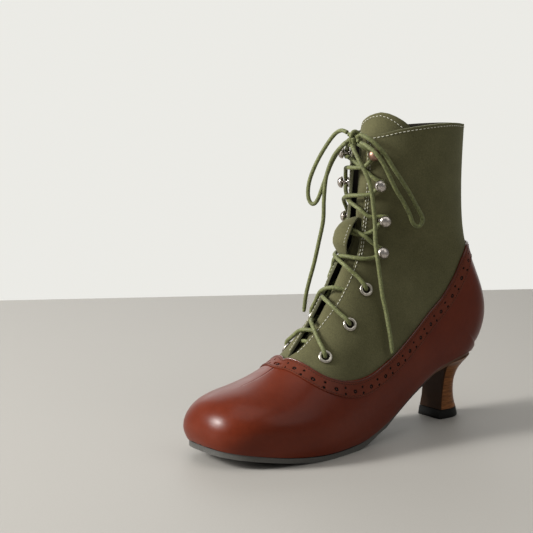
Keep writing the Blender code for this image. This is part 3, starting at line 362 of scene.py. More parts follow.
# ------------------------------------------------------------------ shader helpers
class Shader:
    """Small helper that builds a Principled material with node chains in mm."""

    def __init__(self, name, color, rough, metallic=0.0, **sockets):
        self.mat = bpy.data.materials.new(name)
        self.mat.use_nodes = True
        self.tree = self.mat.node_tree
        self.bsdf = self.tree.nodes["Principled BSDF"]
        self.set("Base Color", (*color, 1.0))
        self.set("Roughness", rough)
        self.set("Metallic", metallic)
        for key, value in sockets.items():
            self.set(key.replace("_", " "), value)
        self.mat.diffuse_color = (*color, 1.0)
        coord = self.tree.nodes.new("ShaderNodeTexCoord")
        scale = self.tree.nodes.new("ShaderNodeVectorMath")
        scale.operation = "SCALE"
        scale.inputs["Scale"].default_value = 1000.0
        self.link(coord.outputs["Object"], scale.inputs[0])
        self.mm = scale.outputs[0]
        self.uv = coord.outputs["UV"]
        self.height = None

    def set(self, socket, value):
        self.bsdf.inputs[socket].default_value = value

    def link(self, a, b):
        self.tree.links.new(a, b)

    def stretch(self, vector, factors):
        node = self.tree.nodes.new("ShaderNodeVectorMath")
        node.operation = "MULTIPLY"
        self.link(vector, node.inputs[0])
        node.inputs[1].default_value = factors
        return node.outputs[0]

    def noise(self, scale, detail=3.0, rough=0.6, vector=None):
        node = self.tree.nodes.new("ShaderNodeTexNoise")
        node.inputs["Scale"].default_value = scale
        node.inputs["Detail"].default_value = detail
        node.inputs["Roughness"].default_value = rough
        self.link(vector or self.mm, node.inputs["Vector"])
        return node.outputs["Fac"]

    def voronoi(self, scale, vector=None, feature="F1"):
        node = self.tree.nodes.new("ShaderNodeTexVoronoi")
        node.feature = feature
        node.inputs["Scale"].default_value = scale
        self.link(vector or self.mm, node.inputs["Vector"])
        return node.outputs["Distance"]

    def wave(self, scale, distortion, vector=None, direction="Z", detail=2.0):
        node = self.tree.nodes.new("ShaderNodeTexWave")
        node.bands_direction = direction
        node.inputs["Scale"].default_value = scale
        node.inputs["Distortion"].default_value = distortion
        node.inputs["Detail"].default_value = detail
        self.link(vector or self.mm, node.inputs["Vector"])
        return node.outputs["Fac"]

    def ramp(self, fac, stops):
        node = self.tree.nodes.new("ShaderNodeValToRGB")
        elements = node.color_ramp.elements
        while len(elements) < len(stops):
            elements.new(0.5)
        for element, (at, color) in zip(elements, stops):
            element.position = at
            element.color = (*color, 1.0) if len(color) == 3 else color
        self.link(fac, node.inputs["Fac"])
        return node.outputs["Color"]

    def mix(self, a, b, fac, blend="MIX"):
        node = self.tree.nodes.new("ShaderNodeMix")
        node.data_type = "RGBA"
        node.blend_type = blend
        for value, socket in ((a, node.inputs[6]), (b, node.inputs[7]), (fac, node.inputs[0])):
            if isinstance(value, (float, int)):
                socket.default_value = value
            elif isinstance(value, tuple):
                socket.default_value = (*value, 1.0)
            else:
                self.link(value, socket)
        return node.outputs[2]

    def remap(self, fac, lo, hi, to_lo, to_hi):
        node = self.tree.nodes.new("ShaderNodeMapRange")
        for name, value in (("From Min", lo), ("From Max", hi), ("To Min", to_lo),
                            ("To Max", to_hi)):
            node.inputs[name].default_value = value
        self.link(fac, node.inputs["Value"])
        return node.outputs["Result"]

    def color(self, source):
        self.link(source, self.bsdf.inputs["Base Color"])

    def rough(self, source):
        self.link(source, self.bsdf.inputs["Roughness"])

    def bump(self, fac, strength, distance_mm):
        node = self.tree.nodes.new("ShaderNodeBump")
        node.inputs["Strength"].default_value = strength
        node.inputs["Distance"].default_value = distance_mm * MM
        self.link(fac, node.inputs["Height"])
        if self.height is not None:
            self.link(self.height, node.inputs["Normal"])
        self.height = node.outputs["Normal"]
        self.link(self.height, self.bsdf.inputs["Normal"])
        return self


def nubuck(name, dark, light, nap=1.0):
    s = Shader(name, light, 0.92, Specular_IOR_Level=0.25, Sheen_Weight=0.22,
               Sheen_Roughness=0.5, Sheen_Tint=(0.55, 0.58, 0.40, 1.0))
    patches = s.noise(0.045, 3.0, 0.55)
    nap_fine = s.noise(1.15, 4.0, 0.7)
    base = s.ramp(patches, [(0.32, dark), (0.68, light)])
    flecks = s.ramp(nap_fine, [(0.30, (0.72, 0.72, 0.72)), (0.70, (1.22, 1.22, 1.20))])
    s.color(s.mix(base, flecks, 1.0, "MULTIPLY"))
    s.bump(s.noise(2.6, 3.0, 0.7), 0.35 * nap, 0.10)
    s.bump(nap_fine, 0.25 * nap, 0.12)
    return s.mat


def polished(name, dark, light, rough, coat=0.35, grain=1.0):
    s = Shader(name, light, rough, Specular_IOR_Level=0.14, Coat_Weight=coat,
               Coat_Roughness=0.24)
    clouds = s.noise(0.03, 3.0, 0.55)
    streaks = s.noise(0.35, 4.0, 0.6)
    base = s.ramp(clouds, [(0.30, dark), (0.70, light)])
    shade = s.ramp(streaks, [(0.3, (0.93, 0.93, 0.93)), (0.7, (1.06, 1.05, 1.04))])
    s.color(s.mix(base, shade, 1.0, "MULTIPLY"))
    s.rough(s.remap(s.noise(0.12, 3.0, 0.6), 0.3, 0.7, rough - 0.04, rough + 0.05))
    s.bump(s.noise(2.4, 3.0, 0.6), 0.12 * grain, 0.05)
    s.bump(s.noise(0.7, 3.0, 0.6), 0.10 * grain, 0.10)
    return s.mat


def metal(name, color, rough, dents=0.0):
    s = Shader(name, color, rough, 1.0)
    tarnish = s.noise(0.7, 4.0, 0.65)
    s.color(s.ramp(tarnish, [(0.34, tuple(c * 0.62 for c in color)), (0.60, color)]))
    s.rough(s.remap(tarnish, 0.3, 0.7, rough + 0.10, rough - 0.03))
    if dents:
        s.bump(s.noise(0.55, 2.0, 0.5), dents, 0.25)
    return s.mat


def waxed_cord(name, dark, light):
    s = Shader(name, light, 0.55, Specular_IOR_Level=0.45, Sheen_Weight=0.08)
    mottle = s.noise(0.75, 4.0, 0.7)
    s.color(s.ramp(mottle, [(0.28, dark), (0.52, light),
                            (0.74, tuple(min(1.0, c * 1.75) for c in light))]))
    braid = s.wave(1.0, 0.0, s.stretch(s.uv, (1.0, 1.0, 1.0)), "DIAGONAL", 0.0)
    s.bump(braid, 0.35, 0.16)
    s.bump(s.noise(1.6, 3.0, 0.7), 0.5, 0.16)
    return s.mat


def stacked(name):
    s = Shader(name, (0.25, 0.09, 0.03), 0.42, Specular_IOR_Level=0.2, Coat_Weight=0.08,
               Coat_Roughness=0.25)
    grain = s.noise(0.5, 5.0, 0.65, s.stretch(s.mm, (0.35, 0.35, 3.2)))
    layer = s.noise(0.55, 2.0, 0.5, s.stretch(s.mm, (0.03, 0.03, 1.0)))
    base = s.ramp(grain, [(0.30, (0.105, 0.034, 0.008)), (0.50, (0.215, 0.078, 0.020)),
                          (0.72, (0.34, 0.145, 0.045))])
    tone = s.ramp(layer, [(0.35, (0.72, 0.68, 0.64)), (0.62, (1.15, 1.12, 1.08))])
    s.color(s.mix(base, tone, 1.0, "MULTIPLY"))
    s.bump(grain, 0.25, 0.12)
    return s.mat


def sole_edge(name):
    """Grey edge that turns nearly black where the sole rises under the waist."""
    s = Shader(name, (0.075, 0.073, 0.067), 0.5)
    f = s.noise(0.9, 4.0, 0.65)
    grey = s.ramp(f, [(0.3, (0.062, 0.060, 0.055)), (0.7, (0.092, 0.090, 0.082))])
    split = s.tree.nodes.new("ShaderNodeSeparateXYZ")
    s.link(s.mm, split.inputs[0])
    rise = s.remap(split.outputs["Z"], 9.0, 20.0, 0.0, 1.0)
    seat = s.remap(split.outputs["Z"], 33.0, 39.0, 0.0, 1.0)
    s.color(s.mix(s.mix(grey, (0.012, 0.008, 0.006), rise), (0.10, 0.038, 0.012), seat))
    s.bump(f, 0.25, 0.10)
    return s.mat


def plain_matt(name, dark, light, rough, scale=1.2, bump=0.25):
    s = Shader(name, light, rough, Specular_IOR_Level=0.22)
    f = s.noise(scale, 4.0, 0.65)
    s.color(s.ramp(f, [(0.3, dark), (0.7, light)]))
    s.bump(f, bump, 0.10)
    return s.mat


MAT = {
    "olive": nubuck("olive_nubuck_shaft", (0.084, 0.079, 0.035), (0.111, 0.105, 0.049)),
    "olive_edge": nubuck("olive_nubuck_cut_edge", (0.13, 0.13, 0.075), (0.17, 0.17, 0.10)),
    "brown": polished("brown_leather_polished", (0.098, 0.0128, 0.0036), (0.126, 0.0185, 0.0054),
                      0.32, 0.12),
    "band": polished("brown_leather_band", (0.102, 0.0180, 0.0068), (0.130, 0.0255, 0.0100), 0.47,
                     0.08, 1.6),
    "bead": polished("brown_leather_bead", (0.07, 0.012, 0.005), (0.10, 0.019, 0.008), 0.28,
                     0.6, 0.3),
    "brown_thread": plain_matt("brown_thread", (0.022, 0.008, 0.004), (0.050, 0.017, 0.009), 0.7),
    "white_thread": plain_matt("pale_thread", (0.46, 0.45, 0.36), (0.68, 0.67, 0.57), 0.7),
    # painted shade: near-black colour for the bottoms of the holes, the eyelets' holes and the line along the
    # feather edge
    "hole": plain_matt("painted_shade_near_black", (0.004, 0.002, 0.0015), (0.008, 0.004, 0.003), 0.9),
    "lining": plain_matt("dark_lining_leather", (0.020, 0.017, 0.012), (0.036, 0.030, 0.022), 0.75),
    "insole": plain_matt("insole_leather", (0.10, 0.07, 0.045), (0.14, 0.10, 0.065), 0.7),
    "sole": sole_edge("sole_edge_grey"),
    "sole_under": plain_matt("sole_under", (0.035, 0.032, 0.028), (0.058, 0.054, 0.048), 0.65),
    "wood": stacked("stacked_heel_wood"),
    # painted shade: the heel's front face gets a much darker brown than the wood, standing in for the shadow
    # under the arch
    "breast": polished("heel_breast_painted_shade", (0.034, 0.0140, 0.0050), (0.055, 0.0230, 0.0085), 0.55,
                       0.0),
    "tip": plain_matt("top_piece_black", (0.003, 0.003, 0.0025), (0.008, 0.008, 0.007), 0.55),
    "ring": metal("eyelet_antique_nickel", (0.56, 0.52, 0.45), 0.28),
    "ball": metal("hook_pewter", (0.62, 0.565, 0.52), 0.24, 0.03),
    "ball_copper": metal("hook_worn_copper", (0.34, 0.20, 0.145), 0.36, 0.05),
    "lace": waxed_cord("waxed_lace", (0.060, 0.066, 0.021), (0.130, 0.143, 0.048)),
    "lace_core": plain_matt("lace_core", (0.14, 0.14, 0.07), (0.26, 0.26, 0.15), 0.8),
}


# ------------------------------------------------------------------ mesh helpers
def link_piece(name, mesh, *mats):
    ob = bpy.data.objects.new(name, mesh)
    for m in mats:
        mesh.materials.append(MAT[m])
    bpy.context.scene.collection.objects.link(ob)
    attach(ob, "root")
    return ob


def mesh_of(name, verts, faces, *mats, smooth=True):
    mesh = bpy.data.meshes.new(name)
    mesh.from_pydata([M(v) for v in verts], [], faces)
    mesh.validate()
    if smooth:
        mesh.shade_smooth()
    return link_piece(name, mesh, *mats)


def apply_all(ob):
    """Turn the evaluated mesh into the object's own mesh."""
    bpy.context.view_layer.update()
    deps = bpy.context.evaluated_depsgraph_get()
    mesh = bpy.data.meshes.new_from_object(ob.evaluated_get(deps), preserve_all_data_layers=True,
                                           depsgraph=deps)
    old = ob.data
    ob.modifiers.clear()
    ob.data = mesh
    bpy.data.meshes.remove(old)


def sheet_mesh(name, halves, *mats):
    """Rows of points to quads; points that coincide become one; degenerate quads shrink."""
    index, verts, faces, seen = {}, [], [], set()

    def vert(p):
        key = (round(float(p[0]), 3), round(float(p[1]), 3), round(float(p[2]), 3))
        if key not in index:
            index[key] = len(verts)
            verts.append(p)
        return index[key]

    for rows in halves:
        ids = [[vert(p) for p in row] for row in rows]
        for a, b in zip(ids, ids[1:]):
            for j in range(len(a) - 1):
                face = []
                for v in (a[j], a[j + 1], b[j + 1], b[j]):
                    if v not in face:
                        face.append(v)
                key = frozenset(face)
                if len(face) >= 3 and key not in seen:
                    seen.add(key)
                    faces.append(face)
    ob = mesh_of(name, verts, faces, *mats)
    bm = bmesh.new()
    bm.from_mesh(ob.data)
    bmesh.ops.recalc_face_normals(bm, faces=bm.faces)
    bm.to_mesh(ob.data)
    bm.free()
    return ob


def face_away(ob, inside):
    c = Vector(M(inside))
    total = sum(p.area * p.normal.dot((p.center - c).normalized()) for p in ob.data.polygons)
    if total < 0:
        ob.data.flip_normals()


def relax(ob, rounds, factor=0.5):
    """Laplacian smoothing that leaves the open borders where they are."""
    bm = bmesh.new()
    bm.from_mesh(ob.data)
    inner = [v for v in bm.verts if not v.is_boundary]
    for _ in range(rounds):
        new = [sum((e.other_vert(v).co for e in v.link_edges), Vector()) / len(v.link_edges)
               for v in inner]
        for v, co in zip(inner, new):
            v.co = v.co.lerp(co, factor)
    bm.to_mesh(ob.data)
    bm.free()


def push(ob, distance):
    bm = bmesh.new()
    bm.from_mesh(ob.data)
    bm.normal_update()
    normals = [v.normal.copy() for v in bm.verts]
    for v, n in zip(bm.verts, normals):
        v.co += n * (distance(v.co) if callable(distance) else distance) * MM
    bm.to_mesh(ob.data)
    bm.free()


def thicken(ob, thickness, outwards, inner_slot=0, rim_slot=0):
    mod = ob.modifiers.new("thickness", "SOLIDIFY")
    mod.thickness = thickness * MM
    mod.offset = 1.0 if outwards else -1.0
    mod.use_rim = True
    mod.use_quality_normals = True
    mod.material_offset = inner_slot
    mod.material_offset_rim = rim_slot


def round_edges(ob, width, segments=2, degrees=50):
    mod = ob.modifiers.new("edges", "BEVEL")
    mod.width = width * MM
    mod.segments = segments
    mod.limit_method = "ANGLE"
    mod.angle_limit = math.radians(degrees)
    mod.harden_normals = False


def resample_step(points, step):
    pts = np.array(points, float)
    run = np.concatenate([[0.0], np.cumsum(np.linalg.norm(np.diff(pts, axis=0), axis=1))])
    n = max(2, int(round(run[-1] / step)) + 1)
    return np.stack([np.interp(np.linspace(0, run[-1], n), run, pts[:, j]) for j in range(3)], 1)


def blur(points, passes, closed=False):
    p = np.array(points, float)
    for _ in range(passes):
        if closed:
            p = 0.25 * np.roll(p, 1, 0) + 0.5 * p + 0.25 * np.roll(p, -1, 0)
        else:
            q = p.copy()
            q[1:-1] = 0.25 * p[:-2] + 0.5 * p[1:-1] + 0.25 * p[2:]
            p = q
    return p


def tube(name, points, radius, mat, sides=14, taper=None, closed=False, wobble=0.0,
         end_mat=None):
    """Tube mesh with UVs: u in mm along it, v in mm round it."""
    pts = np.array(points, float)
    n = len(pts)
    if closed:
        tan = np.roll(pts, -1, 0) - np.roll(pts, 1, 0)
    else:
        tan = np.gradient(pts, axis=0)
    tan /= np.maximum(np.linalg.norm(tan, axis=1), 1e-9)[:, None]
    normal = np.cross(tan[0], (0.3, 0.5, 0.8))
    normal /= np.linalg.norm(normal)
    run = np.concatenate([[0.0], np.cumsum(np.linalg.norm(np.diff(pts, axis=0), axis=1))])
    verts, frames = [], []
    for i in range(n):
        normal = normal - tan[i] * normal.dot(tan[i])
        normal /= np.linalg.norm(normal)
        frames.append((normal.copy(), np.cross(tan[i], normal)))
    if closed:
        a, b = frames[-1][0], frames[0][0]
        twist = math.atan2(np.dot(np.cross(b, a), tan[0]), np.dot(a, b))
    for i in range(n):
        a, b = frames[i]
        if closed:
            t = -twist * i / n
            a, b = a * math.cos(t) + b * math.sin(t), b * math.cos(t) - a * math.sin(t)
        r = radius * (taper(run[i], run[-1]) if taper else 1.0)
        if wobble:
            r *= 1 + wobble * math.sin(run[i] * 1.9) * math.sin(run[i] * 0.73 + 1.0)
        for s in range(sides):
            w = 2 * math.pi * s / sides
            verts.append(pts[i] + r * (a * math.cos(w) + b * math.sin(w)))
    faces = []
    for i in range(n if closed else n - 1):
        j = (i + 1) % n
        for s in range(sides):
            t = (s + 1) % sides
            faces.append((i * sides + s, i * sides + t, j * sides + t, j * sides + s))
    if not closed:
        faces.append(tuple(range(sides))[::-1])
        faces.append(tuple(range((n - 1) * sides, n * sides)))
    mesh = bpy.data.meshes.new(name)
    mesh.from_pydata([M(v) for v in verts], [], faces)
    uv = mesh.uv_layers.new(name="uv")
    for poly in mesh.polygons:
        for li in poly.loop_indices:
            v = mesh.loops[li].vertex_index
            uv.data[li].uv = (run[min(v // sides, n - 1)], (v % sides) / sides * 8.0)
    mesh.shade_smooth()
    bm = bmesh.new()
    bm.from_mesh(mesh)
    bmesh.ops.recalc_face_normals(bm, faces=bm.faces)
    bm.to_mesh(mesh)
    bm.free()
    ob = link_piece(name, mesh, mat, *([end_mat] if end_mat else []))
    if end_mat:
        for poly in mesh.polygons:
            if len(poly.vertices) > 4:
                poly.material_index = 1
    return ob


def stitches(name, points, normals, mat, length=1.9, pitch=2.8, width=0.55, lift=0.12):
    """Row of short threads along a line on a surface."""
    pts = np.array(points, float)
    nor = np.array(normals, float)
    run = np.concatenate([[0.0], np.cumsum(np.linalg.norm(np.diff(pts, axis=0), axis=1))])
    verts, faces = [], []
    count = int(run[-1] / pitch)
    for k in range(count):
        a = (k + 0.15) * pitch
        ring = []
        for t, r, h in ((0.0, 0.35, -0.25), (0.18, 0.9, 0.05), (0.5, 1.0, 0.2), (0.82, 0.9, 0.05),
                        (1.0, 0.35, -0.25)):
            d = a + t * length
            p = np.array([np.interp(d, run, pts[:, j]) for j in range(3)])
            q = np.array([np.interp(d + 0.2, run, pts[:, j]) for j in range(3)])
            m = np.array([np.interp(d, run, nor[:, j]) for j in range(3)])
            m /= np.linalg.norm(m)
            along = q - p
            along /= max(np.linalg.norm(along), 1e-9)
            side = np.cross(m, along)
            centre = p + m * (lift + h * width * 0.6)
            base = len(verts)
            for s in range(6):
                w = math.pi * s / 3
                verts.append(centre + r * width * 0.5 * (side * math.cos(w) + m * math.sin(w) * 0.8))
            ring.append(base)
        for b0, b1 in zip(ring, ring[1:]):
            for s in range(6):
                t = (s + 1) % 6
                faces.append((b0 + s, b0 + t, b1 + t, b1 + s))
        faces.append(tuple(ring[0] + s for s in range(6))[::-1])
        faces.append(tuple(ring[-1] + s for s in range(6)))
    return mesh_of(name, verts, faces, mat)
# ------------------------------------------------------------------ the last as a surface
def rib_points(k, side, us):
    line, run = rib_line(k, side)
    d = np.clip(us, 0, 1) * run[-1]
    return np.stack([np.interp(d, run, line[:, j]) for j in range(3)], 1)


def build_last():
    ks = np.arange(0.0, 25.81, 0.1)
    us = np.linspace(0, 1, 71)
    verts, faces = [], []
    for side in (-1, 1):
        base = len(verts)
        for k in ks:
            verts.extend(Vector(p) for p in rib_points(k, side, us))
        for i in range(len(ks) - 1):
            for j in range(70):
                a = base + i * 71 + j
                q = (a, a + 1, a + 72, a + 71)
                faces.append(q if side > 0 else q[::-1])
    tree = BVHTree.FromPolygons(verts, faces)
    p, n, _, _ = tree.find_nearest(Vector((34.0, 60.0, 120.0)))
    return tree, (1.0 if n.x > 0 else -1.0)


LAST, LAST_SIGN = build_last()


def snap(p):
    loc, n, _, _ = LAST.find_nearest(Vector(p))
    return np.array(loc), np.array(n) * LAST_SIGN


def normals_along(points, passes=6, closed=False):
    return unit(blur([snap(p)[1] for p in points], passes, closed))


def unit(rows):
    rows = np.array(rows, float)
    return rows / np.maximum(np.linalg.norm(rows, axis=1), 1e-9)[:, None]


def offset_on_surface(points, normals, distance, sign, steps=8):
    """Walk from each point of a line across the surface, square to the line."""
    pts = np.array(points, float)
    tan = unit(np.gradient(pts, axis=0))
    way = sign * np.cross(normals, tan)
    cur, nor = pts.copy(), np.array(normals, float)
    for _ in range(steps):
        nxt = []
        for i in range(len(cur)):
            d = way[i] - nor[i] * way[i].dot(nor[i])
            d /= max(np.linalg.norm(d), 1e-9)
            q, n = snap(cur[i] + d * distance / steps)
            nxt.append(q)
        cur = np.array(nxt)
        nor = normals_along(cur, 3)
    return cur, nor


# ------------------------------------------------------------------ soft creases
# troughs (depth > 0) and ridges (depth < 0), listed one by one: rib, arc, half lengths along
# rib and across, turn in degrees, depth in mm
CREASES = [
    (18.6, 36.0, 1.4, 3.0, 0, 0.55), (21.6, 33.0, 1.2, 3.2, 0, 0.55), (22.6, 41.0, 1.2, 5.0, 0, -0.35),
    (15.2, 38.0, 1.0, 6.0, 0, 0.35), (12.6, 40.0, 0.6, 8.0, 0, 0.35), (13.6, 44.0, 0.6, 8.0, 0, -0.30),
    (18.6, -36.0, 1.4, 3.0, 0, 0.55), (21.6, -33.0, 1.2, 3.2, 0, 0.55), (13.0, -40.0, 0.6, 8.0, 0, 0.4),
    (16.6, 58.0, 0.9, 9.0, 0, 0.35), (18.4, 62.0, 0.9, 9.0, 0, -0.25),
]


def crease_depth(k, arc):
    total = 0.0
    for k0, a0, hk, ha, _, depth in CREASES:
        x, y = (k - k0) / hk, (arc - a0) / ha
        r = x * x + y * y
        if r < 9:
            total += depth * math.exp(-r)
    return total


# ------------------------------------------------------------------ upper: nubuck shell
LIFT_COLUMNS = ("share", "ribs")   # how far the lateral collar stands above the medial one
LIFT = np.array([(0.06, 0.0), (0.156, 0.10), (0.238, 0.19), (0.325, 0.21), (0.419, 0.20),
                 (0.5, 0.18), (0.58, 0.15), (0.656, 0.11), (0.75, 0.05), (0.86, 0.0)])


def collar_lift(k, side, u):
    """The lateral side of the collar stands a little higher than the medial one."""
    if side < 0 or k <= 23.0:
        return 0.0
    return (k - 23.0) / 2.0 * table_at(LIFT, u, 1)


def build_shell():
    ks = list(np.arange(0, 8.0, 0.25)) + list(np.arange(8.0, 25.0001, 0.1))
    halves = []
    for side in (-1, 1):
        rows = []
        for k in ks:
            length = rib_line(k, side)[1][-1]
            start = 0.0 if k <= K_THROAT else table_at(THROAT, k, 1) / length
            us = start + (1 - start) * np.linspace(0, 1, 56)
            row = rib_points(k, side, us)
            if side > 0 and k > 23.0:
                row = np.array([rib_points(k + collar_lift(k, side, u), side, np.array([u]))[0]
                                for u in us])
            if k > 8.2:
                for j in range(1, len(us) - 1):
                    depth = crease_depth(k, side * us[j] * length)
                    if abs(depth) > 0.01:
                        row[j] = row[j] - snap(row[j])[1] * depth
            rows.append(row)
        halves.append(rows)
    ob = sheet_mesh("upper_shell", halves, "olive", "lining", "olive_edge")
    face_away(ob, (0, 0, 60))
    relax(ob, 6)
    thicken(ob, UPPER_WALL, False, 1, 2)
    round_edges(ob, 0.45, 2, 55)
    apply_all(ob)
    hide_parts("upper")
    return ob


def facing_line(side, inset, k0=8.35, k1=24.95, step=0.12):
    """Line that runs a fixed distance outside the throat's edge."""
    pts = [at_arc(k, side * (table_at(THROAT, k, 1) + inset)) for k in np.arange(k0, k1, step)]
    pts = blur(resample_step(pts, 0.8), 4)
    return pts, normals_along(pts)


build_shell()
for side, tag in ((1, "lat"), (-1, "med")):
    line, nor = facing_line(side, 1.3)
    stitches("stitch_facing_%s" % tag, line, nor, "white_thread")
    line, nor = facing_line(side, 2.9, 14.2, 24.9)
    stitches("stitch_facing_second_%s" % tag, line, nor, "white_thread", 1.7, 2.6)


def collar_rim_line(below):
    """Follows the collar's edge at a distance below it, measured along the surface."""
    pts = []
    for side, us in ((1, np.linspace(0.09, 1, 100)), (-1, np.linspace(1, 0.09, 100)[1:])):
        for u in us:
            rim = K_COLLAR + collar_lift(K_COLLAR, side, u)
            a = rib_points(rim, side, np.array([u]))[0]
            b = rib_points(rim - 0.4, side, np.array([u]))[0]
            d = np.linalg.norm(b - a)
            pts.append(rib_points(rim - 0.4 * min(below / d, 2.4), side, np.array([u]))[0])
    pts = blur(resample_step(pts, 0.8), 3)
    return pts, normals_along(pts)


line, nor = collar_rim_line(2.0)
stitches("stitch_collar", line, nor, "white_thread", 1.9, 2.9)


# ------------------------------------------------------------------ galosh
def smooth_table(table, count):
    """Catmull-Rom through a table, evenly in its own index."""
    t = np.array([list(r) for r in table])
    p = np.vstack([2 * t[0] - t[1], t, 2 * t[-1] - t[-2]])
    out = []
    for x in np.linspace(0, len(t) - 1 - 1e-9, count):
        i = int(x)
        f = x - i
        p0, p1, p2, p3 = p[i], p[i + 1], p[i + 2], p[i + 3]
        out.append(0.5 * (2 * p1 + (p2 - p0) * f + (2 * p0 - 5 * p1 + 4 * p2 - p3) * f * f
                          + (3 * p1 - p0 - 3 * p2 + p3) * f ** 3))
    out = np.array(out)
    out[:, 2] = np.clip(out[:, 2], 0, 1)
    return out


GALOSH_FINE = smooth_table(GALOSH, 260)
TURN_FINE = np.array([(0.0, 0.2), (0.5, 1.1), (14.0, 1.1), (16.4, 1.1), (17.1, 0.0), (22.4, 0.0)])
for column in (1, 2):
    ends = GALOSH_FINE[[0, -1], column].copy()
    for _ in range(70):
        c = GALOSH_FINE[:, column]
        GALOSH_FINE[1:-1, column] = (c[:-2] + 2 * c[1:-1] + c[2:]) / 4
    GALOSH_FINE[[0, -1], column] = ends
TOP_GAP = 0.12            # the leather hugs the shaft along its top line


def top_line():
    """Closed line of the galosh's top edge, front centre, lateral, back, medial."""
    t = smooth_table([r for r in GALOSH if r[1] >= 7.7], 500)
    lat = [rib_points(k, 1, np.array([u]))[0] for _, k, u in t]
    med = [rib_points(k, -1, np.array([u]))[0] for _, k, u in t]
    loop = resample_step(lat + med[::-1][1:] + [lat[0]], 0.5)[:-1]
    loop = np.array(blur(loop, 30, True))
    soft = np.array(blur(loop, 420, True))
    share = np.clip((loop[:, 1] - 8.0) / 18.0, 0, 1) * np.clip((88.0 - loop[:, 1]) / 10.0, 0, 1)
    share = (share * share * (3 - 2 * share))[:, None]
    loop = blur(loop + (soft - loop) * share, 12, True)
    return np.array([snap(p)[0] for p in loop])


TOP = top_line()


def build_galosh():
    halves = []
    vs = np.linspace(0, 1, 56)
    for side in (-1, 1):
        rows = []
        for k_edge, k_top, u_top in GALOSH_FINE:
            row = []
            for v in vs:
                k = k_top + (k_edge - k_top) * v
                length = max(rib_line(k_edge, side)[1][-1], 1e-6)
                end = 1 - min(table_at(TURN_FINE, k_edge, 1) / length, 0.5)
                row.append(rib_points(k, side, np.array([u_top + (end - u_top) * v]))[0])
            if k_top > 9.0 and 6.0 < row[0][1] < 90.0:
                near = int(np.argmin(np.linalg.norm(TOP - row[0], axis=1)))
                move = TOP[near] - row[0]
                row = [p + move * (1 - v) ** 4 for p, v in zip(row, vs)]
            rows.append(row)
        halves.append(rows)
    ob = sheet_mesh("galosh_leather", halves, "brown")
    face_away(ob, (0, 0, 40))
    relax(ob, 24)
    low = np.array([on_rib(k_edge, side, 1.0) for side in (-1, 1) for k_edge in np.arange(0, 17.01, 0.25)])

    def gap(co):
        d = float(np.min(np.linalg.norm(low - np.array(co) / MM, axis=1)))
        t = min(max((d - 3.0) / 18.0, 0.0), 1.0)
        return GALOSH_GAP + (TOP_GAP - GALOSH_GAP) * t * t * (3 - 2 * t)

    push(ob, gap)
    thicken(ob, GALOSH_THICK, True)
    round_edges(ob, 0.35, 2, 55)
    apply_all(ob)
    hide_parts("galosh")
    return ob


galosh = build_galosh()


TOP_N = normals_along(TOP, 10, True)
TOP_T = unit(np.roll(TOP, -2, 0) - np.roll(TOP, 2, 0))
# which side of the line the leather is on: down from the line at the lateral middle
_mid = int(np.argmin(np.linalg.norm(TOP - np.array([30.0, 20.0, 70.0]), axis=1)))
DOWN_SIGN = 1.0 if np.cross(TOP_N[_mid], TOP_T[_mid])[2] < 0 else -1.0


def band_grid(width, step):
    """Rows of surface points at growing distance below the top line."""
    steps = int(round(width / step))
    rows, nors = [TOP.copy()], [TOP_N.copy()]
    way = DOWN_SIGN * np.cross(TOP_N, TOP_T)
    cur, nor = TOP.copy(), TOP_N.copy()
    for _ in range(steps):
        nxt = []
        for i in range(len(cur)):
            d = way[i] - nor[i] * way[i].dot(nor[i])
            d /= max(np.linalg.norm(d), 1e-9)
            nxt.append(snap(cur[i] + d * step)[0])
        cur = blur(np.array(nxt), 4, True)
        nor = normals_along(cur, 8, True)
        t = unit(np.roll(cur, -2, 0) - np.roll(cur, 2, 0))
        way = DOWN_SIGN * np.cross(nor, t)
        rows.append(cur.copy())
        nors.append(nor.copy())
    return np.array(rows), np.array(nors)


BAND_W = 10.6
BAND_STEP = 0.6
BAND_P, BAND_N = band_grid(BAND_W + 0.6, BAND_STEP)
TOP_RUN = np.concatenate([[0.0], np.cumsum(np.linalg.norm(np.diff(np.vstack([TOP, TOP[:1]]),
                                                                  axis=0), axis=1))])
TOP_LEN = TOP_RUN[-1]


def on_band(s, d, height):
    """Point at s along the top line and d below it, lifted off the last."""
    x = np.interp(s % TOP_LEN, TOP_RUN, np.arange(len(TOP_RUN)))
    i = int(x) % len(TOP)
    f = x - int(x)
    j = (i + 1) % len(TOP)
    y = min(max(d / BAND_STEP, 0.0), len(BAND_P) - 1.001)
    r = int(y)
    g = y - r
    p = ((BAND_P[r, i] * (1 - f) + BAND_P[r, j] * f) * (1 - g)
         + (BAND_P[r + 1, i] * (1 - f) + BAND_P[r + 1, j] * f) * g)
    n = ((BAND_N[r, i] * (1 - f) + BAND_N[r, j] * f) * (1 - g)
         + (BAND_N[r + 1, i] * (1 - f) + BAND_N[r + 1, j] * f) * g)
    return p + n / np.linalg.norm(n) * height, n / np.linalg.norm(n)


OUTER = TOP_GAP + GALOSH_THICK
BAND_T = 0.55
HALF_LEN = TOP_LEN / 2
REPEATS = 2 * int(round(HALF_LEN / 13.1))
CELL = TOP_LEN / REPEATS
BIG_R, SMALL_R = 1.35, 0.82
# holes of one repeat: along, below the top line, radius
HOLES = [(0.0, 6.6, BIG_R), (CELL * 0.47, 4.5, SMALL_R), (CELL * 0.47, 8.5, SMALL_R)]


